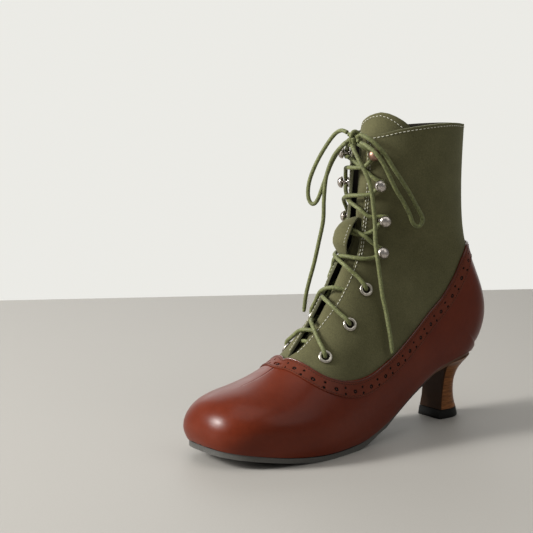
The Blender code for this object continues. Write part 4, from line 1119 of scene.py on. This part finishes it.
def build_band():
    """Perforated strip: one repeat is triangulated flat with its holes and laid along."""
    pts, edges, faces = [], [], []
    nx, edge_y = 12, (0.7, BAND_W)
    x0 = -CELL * 0.25
    border = []
    ys = [edge_y[0] + (edge_y[1] - edge_y[0]) * t / 10 for t in range(11)]
    for i in range(nx + 1):
        border.append((x0 + CELL * i / nx, ys[0]))
    for y in ys[1:]:
        border.append((x0 + CELL, y))
    for i in range(nx - 1, -1, -1):
        border.append((x0 + CELL * i / nx, ys[-1]))
    for y in ys[-2:0:-1]:
        border.append((x0, y))
    n = len(border)
    pts += border
    edges += [(i, (i + 1) % n) for i in range(n)]
    for hx, hy, r in HOLES:
        sides = 20 if r > 1 else 14
        b = len(pts)
        pts += [(hx + r * math.cos(2 * math.pi * i / sides), hy + r * math.sin(2 * math.pi * i / sides))
                for i in range(sides)]
        edges += [(b + i, b + (i + 1) % sides) for i in range(sides)]
        b = len(pts)
        pts += [(hx + (r + 0.28) * math.cos(2 * math.pi * i / sides),
                 hy + (r + 0.28) * math.sin(2 * math.pi * i / sides)) for i in range(sides)]
        edges += [(b + i, b + (i + 1) % sides) for i in range(sides)]
    for i in range(1, nx):
        for y in ys[1:-1]:
            x = x0 + CELL * i / nx
            if all(math.hypot(x - hx, y - hy) > r + 0.6 for hx, hy, r in HOLES):
                pts.append((x, y))
    vs, _, fs, *_ = delaunay_2d_cdt([Vector(p) for p in pts], edges, [], 1, 1e-5)
    keep = []
    for f in fs:
        c = sum((vs[i] for i in f), Vector((0, 0))) / len(f)
        if all(math.hypot(c.x - hx, c.y - hy) > r * 0.985 for hx, hy, r in HOLES):
            keep.append(f)
    rim = {}
    for i, v in enumerate(vs):
        for hx, hy, r in HOLES:
            if abs(math.hypot(v.x - hx, v.y - hy) - r) < 0.01:
                rim[i] = -0.10
    verts, faces, index = [], [], {}

    def vert(i, rep):
        v = vs[i]
        s, d = v.x + rep * CELL, v.y
        key = (round((s % TOP_LEN) * 50) % int(round(TOP_LEN * 50)), round(d * 200))
        if key not in index:
            if d > BAND_W - 0.02:
                d += 0.16 * math.cos(2 * math.pi * s / (CELL / 6))
            h = OUTER + BAND_T + rim.get(i, 0.0)
            index[key] = len(verts)
            verts.append(on_band(s, d, h)[0])
        return index[key]

    for rep in range(REPEATS):
        for f in keep:
            face = tuple(vert(i, rep) for i in f)
            if len(set(face)) == 3:
                faces.append(face)
    ob = mesh_of("brogue_band", verts, faces, "band")
    bm = bmesh.new()
    bm.from_mesh(ob.data)
    bmesh.ops.recalc_face_normals(bm, faces=bm.faces)
    bm.to_mesh(ob.data)
    bm.free()
    face_away(ob, (0, 0, 60))
    thicken(ob, BAND_T - 0.02, False)
    round_edges(ob, 0.16, 2, 60)
    apply_all(ob)
    return ob


def build_perforations():
    """Painted shade: near-black discs over the bottoms of the holes; and the small dome in each large one."""
    verts, faces, dome_v, dome_f = [], [], [], []
    for rep in range(REPEATS):
        for hx, hy, r in HOLES:
            s = hx + rep * CELL
            c, n = on_band(s, hy, OUTER + 0.05)
            a = on_band(s + 0.5, hy, OUTER + 0.05)[0] - c
            a = a / np.linalg.norm(a)
            b = np.cross(n, a)
            base = len(verts)
            verts.append(c)
            verts += [c + (r + 0.12) * (a * math.cos(math.pi * i / 8) + b * math.sin(math.pi * i / 8))
                      for i in range(16)]
            faces += [(base, base + 1 + i, base + 1 + (i + 1) % 16) for i in range(16)]
            if r > 1:
                base = len(dome_v)
                for ring, (rr, hh) in enumerate(((0.55, 0.0), (0.5, 0.28), (0.3, 0.45))):
                    dome_v += [c + n * hh + rr * (a * math.cos(math.pi * i / 5) + b * math.sin(math.pi * i / 5))
                               for i in range(10)]
                dome_v.append(c + n * 0.52)
                for ring in range(2):
                    for i in range(10):
                        j = (i + 1) % 10
                        q = base + ring * 10
                        dome_f.append((q + i, q + j, q + 10 + j, q + 10 + i))
                dome_f += [(base + 20 + i, base + 20 + (i + 1) % 10, base + 30) for i in range(10)]
    mesh_of("perforation_painted_shade_discs", verts, faces, "hole")
    mesh_of("perforation_domes", dome_v, dome_f, "bead")


def band_line(d, height, step=0.7):
    count = int(TOP_LEN / step)
    got = [on_band(TOP_LEN * i / count, d, height) for i in range(count + 1)]
    return np.array([g[0] for g in got]), np.array([g[1] for g in got])


build_band()
build_perforations()
bead = band_line(0.15, OUTER + 0.05, 0.6)[0][:-1]
ob = tube("galosh_piping", bead, 0.62, "bead", 10, closed=True)
for i, d in enumerate((1.9, BAND_W - 1.0)):
    line, nor = band_line(d, OUTER + BAND_T)
    stitches("stitch_band_%d" % i, line, nor, "brown_thread", 1.3, 1.9, 0.45, 0.05)
# ------------------------------------------------------------------ tongue and keeper
def tongue_inset(k, share):
    """Deep under the medial facing, close up under the lateral one."""
    base = table_at(TONGUE, k, 2)
    return base - 0.9 * max(share, 0.0) ** 1.5 * min(max((k - 9.0) / 2.0, 0.0), 1.0)


def tongue_half(k, share):
    half = table_at(TONGUE, k, 1)
    k0, k1, more = TONGUE_WIDER
    t = min(max((k - k0) / (k1 - k0), 0.0), 1.0)
    return half + (more * t * t * (3 - 2 * t) if share > 0 else 0.0)


def tongue_top(share):
    return table_at(TONGUE_TOP, share * tongue_half(26.0, share), 1)


def tongue_at(k, share):
    half = tongue_half(k, share)
    p = lifted(k, share * half, -tongue_inset(k, share))
    wave = 0.35 * math.sin(k * 1.7) * math.exp(-(share * 1.6) ** 2)
    return p - outward(k, share * half) * wave


def build_tongue():
    shares = np.linspace(-1, 1, 41)
    rows = [[tongue_at(k, s) for s in shares] for k in np.arange(7.2, 24.11, 0.2)]
    for lift in np.linspace(0.06, 1.0, 16):
        rows.append([tongue_at(24.1 + (tongue_top(s) - 24.1) * lift, s) for s in shares])
    ob = sheet_mesh("tongue_nubuck", [rows], "olive", "lining", "olive_edge")
    face_away(ob, (0, 60, 120))
    relax(ob, 4)
    thicken(ob, TONGUE_THICK, False, 1, 2)
    round_edges(ob, 0.4, 2, 55)
    apply_all(ob)
    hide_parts("tongue")
    pts, nor = [], []
    for s in np.linspace(-0.98, 0.98, 200):
        k = tongue_top(s) - 0.14 - 0.10 * abs(s) ** 3
        pts.append(tongue_at(k, s * 0.95))
        nor.append(outward(k, s * 0.95 * tongue_half(k, s)))
    pts = resample_step(pts, 0.6)
    nor = unit([np.array([np.interp(i, np.linspace(0, len(pts) - 1, len(nor)),
                                    np.array(nor)[:, j]) for j in range(3)])
                for i in range(len(pts))])
    stitches("stitch_tongue", pts, nor, "white_thread", 1.8, 2.7)


build_tongue()


def keeper_at(t, s, extra=0.0):
    k = KEEPER_K0 + (KEEPER_K1 - KEEPER_K0) * t
    rise = KEEPER_RISE * (1 - abs(2 * t - 1) ** 4)
    half = KEEPER_HALF * (1.0 + 0.12 * (t - 0.3))
    return lifted(k, KEEPER_ARC + half * s, -table_at(TONGUE, k, 2) + GAP + rise + extra)


def build_keeper():
    rows = [[keeper_at(t, s) for s in np.linspace(-1, 1, 13)] for t in np.linspace(0, 1, 61)]
    ob = sheet_mesh("keeper_strap", [rows], "olive", "lining", "olive_edge")
    face_away(ob, (0, 60, 120))
    thicken(ob, KEEPER_THICK, True, 1, 2)
    round_edges(ob, 0.35, 2, 50)
    apply_all(ob)
    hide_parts("lace_keeper")
    for i, s in enumerate((-0.8, 0.8)):
        pts = resample_step([keeper_at(t, s, KEEPER_THICK) for t in np.linspace(0.03, 0.97, 70)], 0.6)
        nor = []
        for p, q in zip(pts, np.gradient(pts, axis=0)):
            q = q / np.linalg.norm(q)
            side = np.array([1.0, 0, 0])
            n = np.cross(side, q)
            nor.append(n if n[1] < 0 else -n)
        stitches("stitch_keeper_%d" % i, pts, unit(nor), "white_thread", 1.6, 2.4, 0.5)
    for i, t in enumerate((0.035, 0.965)):
        pts = resample_step([keeper_at(t, s, KEEPER_THICK) for s in np.linspace(-0.8, 0.8, 20)], 0.5)
        nor = [outward(KEEPER_K0 + (KEEPER_K1 - KEEPER_K0) * t, 0.0)] * len(pts)
        stitches("stitch_keeper_bar_%d" % i, pts, nor, "white_thread", 1.5, 1.75, 0.55)


build_keeper()


# ------------------------------------------------------------------ eyelets and hooks
def lathe(name, profile, steps, origin, normal, mats, bands=None):
    """Closed turned solid; bands gives the material slot of each profile span."""
    n = Vector(normal).normalized()
    rot = Vector((0, 0, 1)).rotation_difference(n).to_matrix()
    ring = profile[0][0] > 1e-6
    verts, faces, slots = [], [], []
    rows = []
    for r, z in profile:
        if r < 1e-6:
            rows.append([len(verts)] * steps)
            verts.append(Vector(origin) + rot @ Vector((0, 0, z)))
            continue
        rows.append(list(range(len(verts), len(verts) + steps)))
        for i in range(steps):
            a = 2 * math.pi * i / steps
            verts.append(Vector(origin) + rot @ Vector((r * math.cos(a), r * math.sin(a), z)))
    pairs = list(zip(rows, rows[1:])) + ([(rows[-1], rows[0])] if ring else [])
    for b, (lo, hi) in enumerate(pairs):
        for i in range(steps):
            j = (i + 1) % steps
            face = []
            for v in (lo[i], lo[j], hi[j], hi[i]):
                if v not in face:
                    face.append(v)
            if len(face) > 2:
                faces.append(face)
                slots.append(bands[b] if bands else 0)
    mesh = bpy.data.meshes.new(name)
    mesh.from_pydata([M(v) for v in verts], [], faces)
    for poly, slot in zip(mesh.polygons, slots):
        poly.material_index = slot
    mesh.shade_smooth()
    bm = bmesh.new()
    bm.from_mesh(mesh)
    bmesh.ops.recalc_face_normals(bm, faces=bm.faces)
    bm.to_mesh(mesh)
    bm.free()
    mesh.set_sharp_from_angle(angle=math.radians(60))
    ob = link_piece(name, mesh, *mats)
    return ob


def build_hardware():
    for i, (k, arc) in enumerate(LACE_STATIONS):
        for side, tag in ((1, "lat"), (-1, "med")):
            a = arc * side
            origin, normal = lifted(k, a, 0.05), outward(k, a)
            if i < 3:
                mid = (EYELET_OUTER_R + EYELET_HOLE_R) / 2
                half = (EYELET_OUTER_R - EYELET_HOLE_R) / 2
                profile = [(mid + half * math.cos(math.radians(t)),
                            0.45 + 0.95 * math.sin(math.radians(t))) for t in range(0, 181, 15)]
                profile += [(EYELET_HOLE_R, -1.2), (EYELET_HOLE_R, -2.6), (EYELET_HOLE_R + 0.4, -2.6),
                            (EYELET_HOLE_R + 0.4, 0.0), (EYELET_OUTER_R, 0.0)]
                ob = lathe("eyelet_ring_%s_%d" % (tag, i + 1), profile, 40, origin, normal, ["ring"])
                node = "eyelet_%s_%d" % (tag, i + 1)
                # near-black disc over the eyelet's opening: painted shade of the hole
                dark = lathe("eyelet_dark_%s_%d" % (tag, i + 1),
                             [(0.0, 0.12), (EYELET_HOLE_R + 0.2, 0.12), (EYELET_HOLE_R + 0.2, 0.02),
                              (0.0, 0.02)], 24, origin, normal, ["hole"])
            else:
                r, neck = HOOK_HEAD_R, HOOK_NECK_R
                profile = [(0.0, 8.0)]
                for t in range(84, -1, -7):
                    w = math.radians(t)
                    profile.append((r * math.cos(w), 4.9 + 3.1 * math.sin(w)))
                for t in range(-15, -76, -15):
                    w = math.radians(t)
                    profile.append((r * math.cos(w), 4.9 + 1.25 * math.sin(w)))
                profile += [(neck, 3.7), (neck, 1.3), (neck + 0.5, 0.9), (3.3, 0.75), (3.6, 0.45),
                            (3.6, 0.0), (0.0, 0.0)]
                mat = "ball_copper" if (i == 6 and side > 0) else "ball"
                ob = lathe("hook_ball_%s_%d" % (tag, i - 2), profile, 36, lifted(k, a, 0.45), normal,
                           [mat])
                node = "hook_%s_%d" % (tag, i - 2)
            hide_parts(node)


build_hardware()


# ------------------------------------------------------------------ the laces
def local_frame(k, a):
    """Normal, direction away from the throat and direction up the boot at a station."""
    n = outward(k, a)
    away = at_arc(k, a + math.copysign(0.6, a)) - at_arc(k, a - math.copysign(0.6, a))
    away -= n * n.dot(away)
    away /= np.linalg.norm(away)
    up = at_arc(k + 0.2, a) - at_arc(k - 0.2, a)
    up -= n * n.dot(up) + away * away.dot(up)
    return n, away, up / np.linalg.norm(up)


# strands between the stations: rib, distance from the centre line, height; the first
# list of each pair starts on the lateral side, the second on the medial one
STRANDS = [
    ([(9.28, 12.5, 1.75), (9.62, 3.0, 1.6), (9.86, -4.0, -0.4), (10.08, -10.5, -3.2),
      (10.3, -17.0, -3.8)],
     [(9.22, -14.5, 1.75), (9.40, -7.0, 1.3), (9.50, 1.0, -1.2), (9.66, 8.5, -3.2),
      (10.1, 16.0, -3.9)]),
    ([(10.62, 16.0, 1.75), (10.72, 6.5, 1.6), (10.95, -4.0, -0.2), (11.15, -12.0, -3.2),
      (11.6, -18.5, -3.8)],
     [(10.95, -16.5, 1.75), (11.25, -8.5, 1.3), (11.42, 1.0, -1.2), (11.58, 10.0, -3.2),
      (11.85, 17.5, -3.9)]),
    ([(12.48, 15.0, 1.8), (12.65, 7.0, 2.2), (13.2, -4.5, 1.9), (14.1, -13.5, 2.0),
      (15.6, -21.0, 2.2)],
     [(12.85, -18.0, 1.8), (13.2, -10.0, 1.2), (13.3, 0.0, -0.7), (13.5, 8.5, 0.4),
      (13.9, 15.5, 2.0), (14.9, 22.0, 2.2)]),
    ([(17.6, 19.0, 2.4), (17.95, 12.5, 2.8), (18.1, 6.5, 1.2), (18.15, 0.0, 0.0),
      (18.3, -6.0, 0.4), (19.1, -14.0, 2.3)],
     [(17.3, -18.0, 2.3), (17.45, -10.0, 1.2), (17.5, -5.0, 0.0), (17.5, 1.0, -0.4),
      (17.7, 7.0, -0.4), (18.3, 12.0, 0.9), (19.3, 17.5, 2.3)]),
    ([(20.5, 13.0, 2.2), (20.85, 6.0, 1.4), (21.3, -3.0, 0.4), (21.7, -9.5, 0.8),
      (22.3, -15.0, 2.2)],
     [(21.3, -18.0, 2.6), (21.68, -11.0, 3.4), (21.78, -2.0, 2.9), (21.98, 6.5, 2.4),
      (22.3, 13.5, 2.4)]),
    ([(23.25, 12.0, 2.2), (23.5, 6.0, 1.2), (23.75, -1.0, 0.6), (23.95, -7.0, 1.8)],
     [(23.38, -15.0, 2.6), (23.5, -8.0, 3.4), (23.5, 0.0, 3.2), (23.6, 7.0, 2.8),
      (23.9, 11.0, 2.4)]),
]


def span(n, side):
    return [lifted(k, a, h) for k, a, h in STRANDS[n][0 if side > 0 else 1]]


def lace_run(side):
    """One half of the lace, from the bar at the bottom up to the knot."""
    k, a = LACE_STATIONS[0]
    pts = []
    if side > 0:
        for share in (-0.85, -0.45, 0.0, 0.45):
            pts.append(lifted(k + 0.1, a * share, -3.6))
    s = side
    for n in range(7):
        k, a = LACE_STATIONS[n]
        c, (nor, away, up) = at_arc(k, s * a), local_frame(k, s * a)
        if n < 3:
            to = span(n, s)[0] - c
            to -= nor * nor.dot(to)
            to /= np.linalg.norm(to)
            pts += [c - nor * 3.7 - away * 3.4, c - nor * 2.4 - away * 0.3, c + nor * 0.4 + to * 0.2,
                    c + nor * 2.25 + to * 2.4, c + nor * 2.5 + to * 4.6]
            pts += span(n, s)
        else:
            r = HOOK_NECK_R + LACE_D / 2 + 0.15
            h = 2.55
            ring = []
            for deg in (-125, -75, -25, 25, 75, 125):
                w = math.radians(deg)
                ring.append(c + nor * h + r * (away * math.cos(w) + up * math.sin(w)))
            pts += ring
            if n < 6:
                pts += span(n, s)
        s = -s
    s = -s
    cx, cy, cz = KNOT_CENTRE
    last = pts[-1]
    end = np.array([cx + (1.6 if s > 0 else -1.4), cy + 0.6, cz - 3.2])
    for t, lift in ((0.45, 2.2), (0.8, 1.6)):
        pts.append(last * (1 - t) + end * t + np.array([0, -lift, 0]))
    pts.append(end)
    pts.append(np.array([cx, cy, cz - 0.5]))
    return pts


def lace_tube(name, route, step=0.8):
    pts = blur(resample_step(catmull(route, 12), step), 3)
    return tube(name, pts, LACE_D / 2, "lace", 14, wobble=0.035), pts


for side, tag in ((1, "a"), (-1, "b")):
    ob, _ = lace_tube("lace_run_" + tag, lace_run(side))
    if side > 0:
        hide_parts(*["lace_cross_%d" % n for n in range(1, 7)])

LENGTHS = {}


def free_cord(name, node, route, end_taper=False):
    pts = blur(resample_step(catmull(route, 12), 0.8), 5)

    def taper(d, total):
        return min(1.0, 0.72 + (total - d) / 9.0) if end_taper else 1.0

    ob = tube(name, pts, LACE_D / 2, "lace", 14, taper, wobble=0.03,
              end_mat="lace_core" if end_taper else None)
    length = float(np.linalg.norm(np.diff(pts, axis=0), axis=1).sum())
    LENGTHS[name] = length
    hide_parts(node)
    return ob


free_cord("bow_loop_left", "lace_loop_left", ROUTE_LOOP_LEFT)
free_cord("bow_loop_right", "lace_loop_right", ROUTE_LOOP_RIGHT)
free_cord("bow_end_left", "lace_end_left", ROUTE_END_LEFT, True)
free_cord("bow_end_right", "lace_end_right", ROUTE_END_RIGHT, True)


def build_knot():
    """The wrap round the two loops, with the small lump of crossed cord behind it."""
    c = np.array(KNOT_CENTRE)
    wrap = []
    for i in range(22):
        w = math.radians(-110 + 470 * i / 21)
        wrap.append(c + np.array([-1.6 + 3.2 * i / 21, -3.1 * math.cos(w) * 1.0, 4.2 * math.sin(w)]))
    ob = tube("bow_knot_wrap", blur(resample_step(catmull(wrap, 6), 0.7), 2), LACE_D / 2, "lace", 14)
    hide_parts("lace_knot")
    inner = [c + np.array(v) for v in ((-4.6, -2.2, 2.2), (-1.5, -0.4, 1.5), (1.5, 0.2, 0.6),
                                       (4.8, -0.4, 1.6))]
    tube("bow_knot_core_a", resample_step(catmull(inner, 8), 0.7), LACE_D / 2, "lace", 12)
    inner = [c + np.array(v) for v in ((-4.8, -1.6, -1.8), (-1.5, -0.8, -1.0), (1.5, -0.6, -1.0),
                                       (5.2, -1.0, -2.2))]
    tube("bow_knot_core_b", resample_step(catmull(inner, 8), 0.7), LACE_D / 2, "lace", 12)


build_knot()


# ------------------------------------------------------------------ outsole, insole, heel
def fine_outline(count, margin_of):
    ks = 17.0 * (0.5 - 0.5 * np.cos(np.linspace(0, math.pi, count)))
    ks[-1] = 17.0
    return ks, sole_outline(list(ks), margin_of)


def edge_z(k):
    return float(rib_row(k)[3])


def plate_mesh(name, ks, lat, med, z_top, z_under, mats, across=14):
    rows_t, rows_u = [], []
    for i, k in enumerate(ks):
        a, b = np.array(lat[i]), np.array(med[i])
        zt, zu = z_top(k), z_under(k)
        shares = np.linspace(0, 1, across + 1)
        rows_t.append([np.array([a[0] + (b[0] - a[0]) * s, a[1] + (b[1] - a[1]) * s, zt]) for s in shares])
        rows_u.append([np.array([a[0] + (b[0] - a[0]) * s, a[1] + (b[1] - a[1]) * s, zu]) for s in shares])
    side_l = [[rows_t[i][0], rows_u[i][0]] for i in range(len(ks))]
    side_m = [[rows_u[i][-1], rows_t[i][-1]] for i in range(len(ks))]
    ob = sheet_mesh(name, [rows_t, [r[::-1] for r in rows_u], side_l, side_m], *mats)
    if len(mats) > 1:
        for poly in ob.data.polygons:
            if poly.normal.z < -0.6:
                poly.material_index = 1
    ob.data.set_sharp_from_angle(angle=math.radians(40))
    return ob


ks, (lat, med) = fine_outline(170, lambda k: table_at(SOLE, k, 2))
ob = plate_mesh("outsole_edge_trimmed", ks, lat, med,
                lambda k: edge_z(k) - GAP - 0.4 * min(max(k - 15.0, 0.0), 1.0),
                lambda k: table_at(SOLE, k, 1), ("sole", "sole_under"))
round_edges(ob, 0.55, 3, 50)
apply_all(ob)
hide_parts("outsole")

# dark tube along the feather edge: painted shadow in the line between the leather and the sole
ks, (lat, med) = fine_outline(150, lambda k: table_at(SOLE, k, 2) * 0.25 + 0.25)
loop = [np.array([p[0], p[1], edge_z(k) + 0.15]) for p, k in zip(lat, ks)]
loop += [np.array([p[0], p[1], edge_z(k) + 0.15]) for p, k in list(zip(med, ks))[::-1]]
loop = resample_step(loop + [loop[0]], 1.2)[:-1]
tube("feather_painted_shadow_line", loop, 0.75, "hole", 8, closed=True)

ks, (lat, med) = fine_outline(90, lambda k: -INSOLE_INSET)
ob = plate_mesh("insole_sock", ks, lat, med, lambda k: edge_z(k) + 2.0, lambda k: edge_z(k),
                ("insole",))
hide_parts("insole")


def under_sole(y):
    ks = np.linspace(0, 17, 80)
    ys = [float(rib_row(k)[2]) for k in ks]
    return float(np.interp(y, ys, [table_at(SOLE, k, 1) for k in ks]))


def heel_loop(yf, yb, half, corner, count=44):
    y_mid = yf + 0.34 * (yb - yf)
    pts = [(-half * corner * 0.94, yf), (-half * corner, yf + 0.8)]
    for i in range(count + 1):
        a = -math.pi / 2 + math.pi * i / count
        pts.append((half * math.sin(a), y_mid + (yb - y_mid) * max(math.cos(a), 0.0)))
    pts += [(half * corner, yf + 0.8), (half * corner * 0.94, yf)]
    return pts


def smooth_columns(table, column, zs):
    z = table[::-1, 0]
    v = table[::-1, column]
    out = []
    for q in zs:
        i = min(max(int(np.searchsorted(z, q)) - 1, 0), len(z) - 2)
        t = min(max((q - z[i]) / (z[i + 1] - z[i]), 0), 1)
        h = z[i + 1] - z[i]

        def slope(j):
            if j == 0:
                return (v[1] - v[0]) / (z[1] - z[0])
            if j == len(z) - 1:
                return (v[-1] - v[-2]) / (z[-1] - z[-2])
            return (v[j + 1] - v[j - 1]) / (z[j + 1] - z[j - 1])
        out.append((2 * t ** 3 - 3 * t * t + 1) * v[i] + (t ** 3 - 2 * t * t + t) * h * slope(i)
                   + (-2 * t ** 3 + 3 * t * t) * v[i + 1] + (t ** 3 - t * t) * h * slope(i + 1))
    return out


def build_heel():
    layer = 2.55
    zs = np.linspace(46.0, 6.8, 150)
    cols = [smooth_columns(HEEL, c, zs) for c in range(1, 5)]
    rings = []
    for i, z in enumerate(zs):
        yf, yb, half, corner = (c[i] for c in cols)
        dip = 0.07 * math.exp(-(((z % layer) - layer / 2) / 0.22) ** 2)
        pts = heel_loop(yf, yb - dip, half - dip, corner)
        ring = []
        row = (46.0 - z) / 10.4
        share = max(0.0, 1 - row) ** 1.3
        for x, y in pts:
            lift = share * (under_sole(y) - under_sole(yb))
            top = under_sole(y) - GAP
            zz = min(z + (46.7 - 46.0) * share + lift, top) if i else top
            ring.append(np.array([x, y, zz]))
        rings.append(ring)
    n = len(rings[0])
    verts = [p for r in rings for p in r]
    faces, slots = [], []
    for i in range(len(rings) - 1):
        for j in range(n):
            k = (j + 1) % n
            faces.append((i * n + j, i * n + k, (i + 1) * n + k, (i + 1) * n + j))
            # the breast faces take slot 1, the darker brown painted as shade under the arch
            slots.append(1 if k == 0 or j in (0, n - 2) else 0)
    for ring, flip in ((0, False), (len(rings) - 1, True)):
        for i in range(n // 2 - 1):
            j = n - 1 - i
            quad = [ring * n + i, ring * n + i + 1, ring * n + j - 1, ring * n + j]
            quad = [q for a, q in enumerate(quad) if q not in quad[:a]]
            if len(quad) > 2:
                faces.append(tuple(quad[::-1] if flip else quad))
                slots.append(0)
    mesh = bpy.data.meshes.new("heel_stack")
    mesh.from_pydata([M(v) for v in verts], [], faces)
    for poly, slot in zip(mesh.polygons, slots):
        poly.material_index = slot
    mesh.shade_smooth()
    bm = bmesh.new()
    bm.from_mesh(mesh)
    bmesh.ops.recalc_face_normals(bm, faces=bm.faces)
    bm.to_mesh(mesh)
    bm.free()
    mesh.set_sharp_from_angle(angle=math.radians(42))
    ob = link_piece("heel_stack", mesh, "wood", "breast")
    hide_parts("heel")


build_heel()


def build_tip():
    rings = []
    for z, grow in ((6.5, -0.35), (6.3, 0.0), (4.0, 0.0), (3.0, 0.0), (0.6, 0.0), (0.0, -0.4)):
        t = 1 - z / 6.5
        yf, yb, half = 74.4 - 0.9 * t - grow, 96.5 + 1.8 * t + grow, 11.8 + 0.5 * t + grow
        rings.append([np.array([x, y, z]) for x, y in heel_loop(yf, yb, half, 0.94)])
    n = len(rings[0])
    verts = [p for r in rings for p in r]
    faces = [(i * n + j, i * n + (j + 1) % n, (i + 1) * n + (j + 1) % n, (i + 1) * n + j)
             for i in range(len(rings) - 1) for j in range(n)]
    for ring, flip in ((0, False), (len(rings) - 1, True)):
        for i in range(n // 2 - 1):
            j = n - 1 - i
            quad = [ring * n + i, ring * n + i + 1, ring * n + j - 1, ring * n + j]
            quad = [q for a, q in enumerate(quad) if q not in quad[:a]]
            if len(quad) > 2:
                faces.append(tuple(quad[::-1] if flip else quad))
    ob = mesh_of("top_piece_rubber", verts, faces, "tip")
    bm = bmesh.new()
    bm.from_mesh(ob.data)
    bmesh.ops.recalc_face_normals(bm, faces=bm.faces)
    bm.to_mesh(ob.data)
    bm.free()
    ob.data.set_sharp_from_angle(angle=math.radians(42))
    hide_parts("heel_tip")


build_tip()


# ------------------------------------------------------------------ floor, backdrop, lights
def simple_stage(name, corners, color, rough):
    mesh = bpy.data.meshes.new(name)
    mesh.from_pydata(corners, [], [tuple(range(len(corners)))])
    ob = bpy.data.objects.new(name, mesh)
    bpy.context.scene.collection.objects.link(ob)
    s = Shader(name, color, rough, Specular_IOR_Level=0.3)
    grain = s.noise(0.9, 3.0, 0.6)
    s.color(s.ramp(grain, [(0.2, tuple(c * 0.96 for c in color)), (0.8, tuple(c * 1.03 for c in color))]))
    mesh.materials.append(s.mat)
    return ob


def on_floor(px, py):
    """Floor point, in metres, behind a pixel of the 533 frame."""
    ray = RIGHT * (px - 266.5) / 1400.0 - UP * (py - 266.5) / 1400.0 + AHEAD
    c = camera.matrix_world.translation
    t = -c.z / ray.z
    return Vector((c.x, c.y, 0)) + Vector((ray.x, ray.y, 0)) * t


left, right = on_floor(0, 300.5), on_floor(533, 289.0)
along = (right - left).normalized()
away = Vector((-along.y, along.x, 0))
if away.dot(Vector((AHEAD.x, AHEAD.y, 0))) < 0:
    away = -away
a, b = left - along * 3.0, right + along * 3.0
simple_stage("floor", [tuple(p) for p in (a, b, b - away * 5.0, a - away * 5.0)],
             (0.395, 0.379, 0.350), 0.6)

world = bpy.data.worlds.new("studio")
bpy.context.scene.world = world
world.use_nodes = True
tree = world.node_tree
back = tree.nodes["Background"]
back.inputs["Strength"].default_value = 1.0
# pale wall in one direction, dimmer room all round
way = tree.nodes.new("ShaderNodeTexCoord")
dot = tree.nodes.new("ShaderNodeVectorMath")
dot.operation = "DOT_PRODUCT"
dot.inputs[1].default_value = (-math.sin(math.radians(52)), math.cos(math.radians(52)), 0.0)
tree.links.new(way.outputs["Generated"], dot.inputs[0])
ramp = tree.nodes.new("ShaderNodeValToRGB")
ramp.color_ramp.elements[0].position = 0.62
ramp.color_ramp.elements[0].color = (0.235, 0.235, 0.23, 1)
ramp.color_ramp.elements[1].position = 0.93
ramp.color_ramp.elements[1].color = (0.835, 0.83, 0.79, 1)
tree.links.new(dot.outputs["Value"], ramp.inputs["Fac"])
tree.links.new(ramp.outputs["Color"], back.inputs["Color"])


def area(name, azimuth, elevation, distance, size, energy, color=(1, 1, 1), shape="RECTANGLE",
         size_y=None, target=(0.0, 0.0, 0.09)):
    data = bpy.data.lights.new(name, "AREA")
    data.shape = shape
    data.size = size
    if size_y:
        data.size_y = size_y
    data.energy = energy
    data.color = color
    ob = bpy.data.objects.new(name, data)
    bpy.context.scene.collection.objects.link(ob)
    az, el = math.radians(azimuth), math.radians(elevation)
    way = Vector((math.sin(az) * math.cos(el), -math.cos(az) * math.cos(el), math.sin(el)))
    ob.location = Vector(target) + way * distance
    ob.rotation_mode = "QUATERNION"
    ob.rotation_quaternion = way.to_track_quat("Z", "Y")
    return ob


area("key", -24, 26, 2.2, 0.74, 44, (1.0, 0.985, 0.96), "ELLIPSE", 1.2)
area("key_core", -22, 27, 2.2, 0.36, 27, (1.0, 0.99, 0.97), "DISK")
area("top_soft", 20, 78, 1.6, 1.3, 7, (1.0, 0.99, 0.97), "SQUARE")
area("back_left", -116, 28, 1.7, 1.2, 4.5, (0.98, 0.99, 1.0), "RECTANGLE", 1.0)
area("back_right", 112, 40, 1.7, 1.0, 3.5, (1.0, 0.99, 0.97), "RECTANGLE", 1.2)
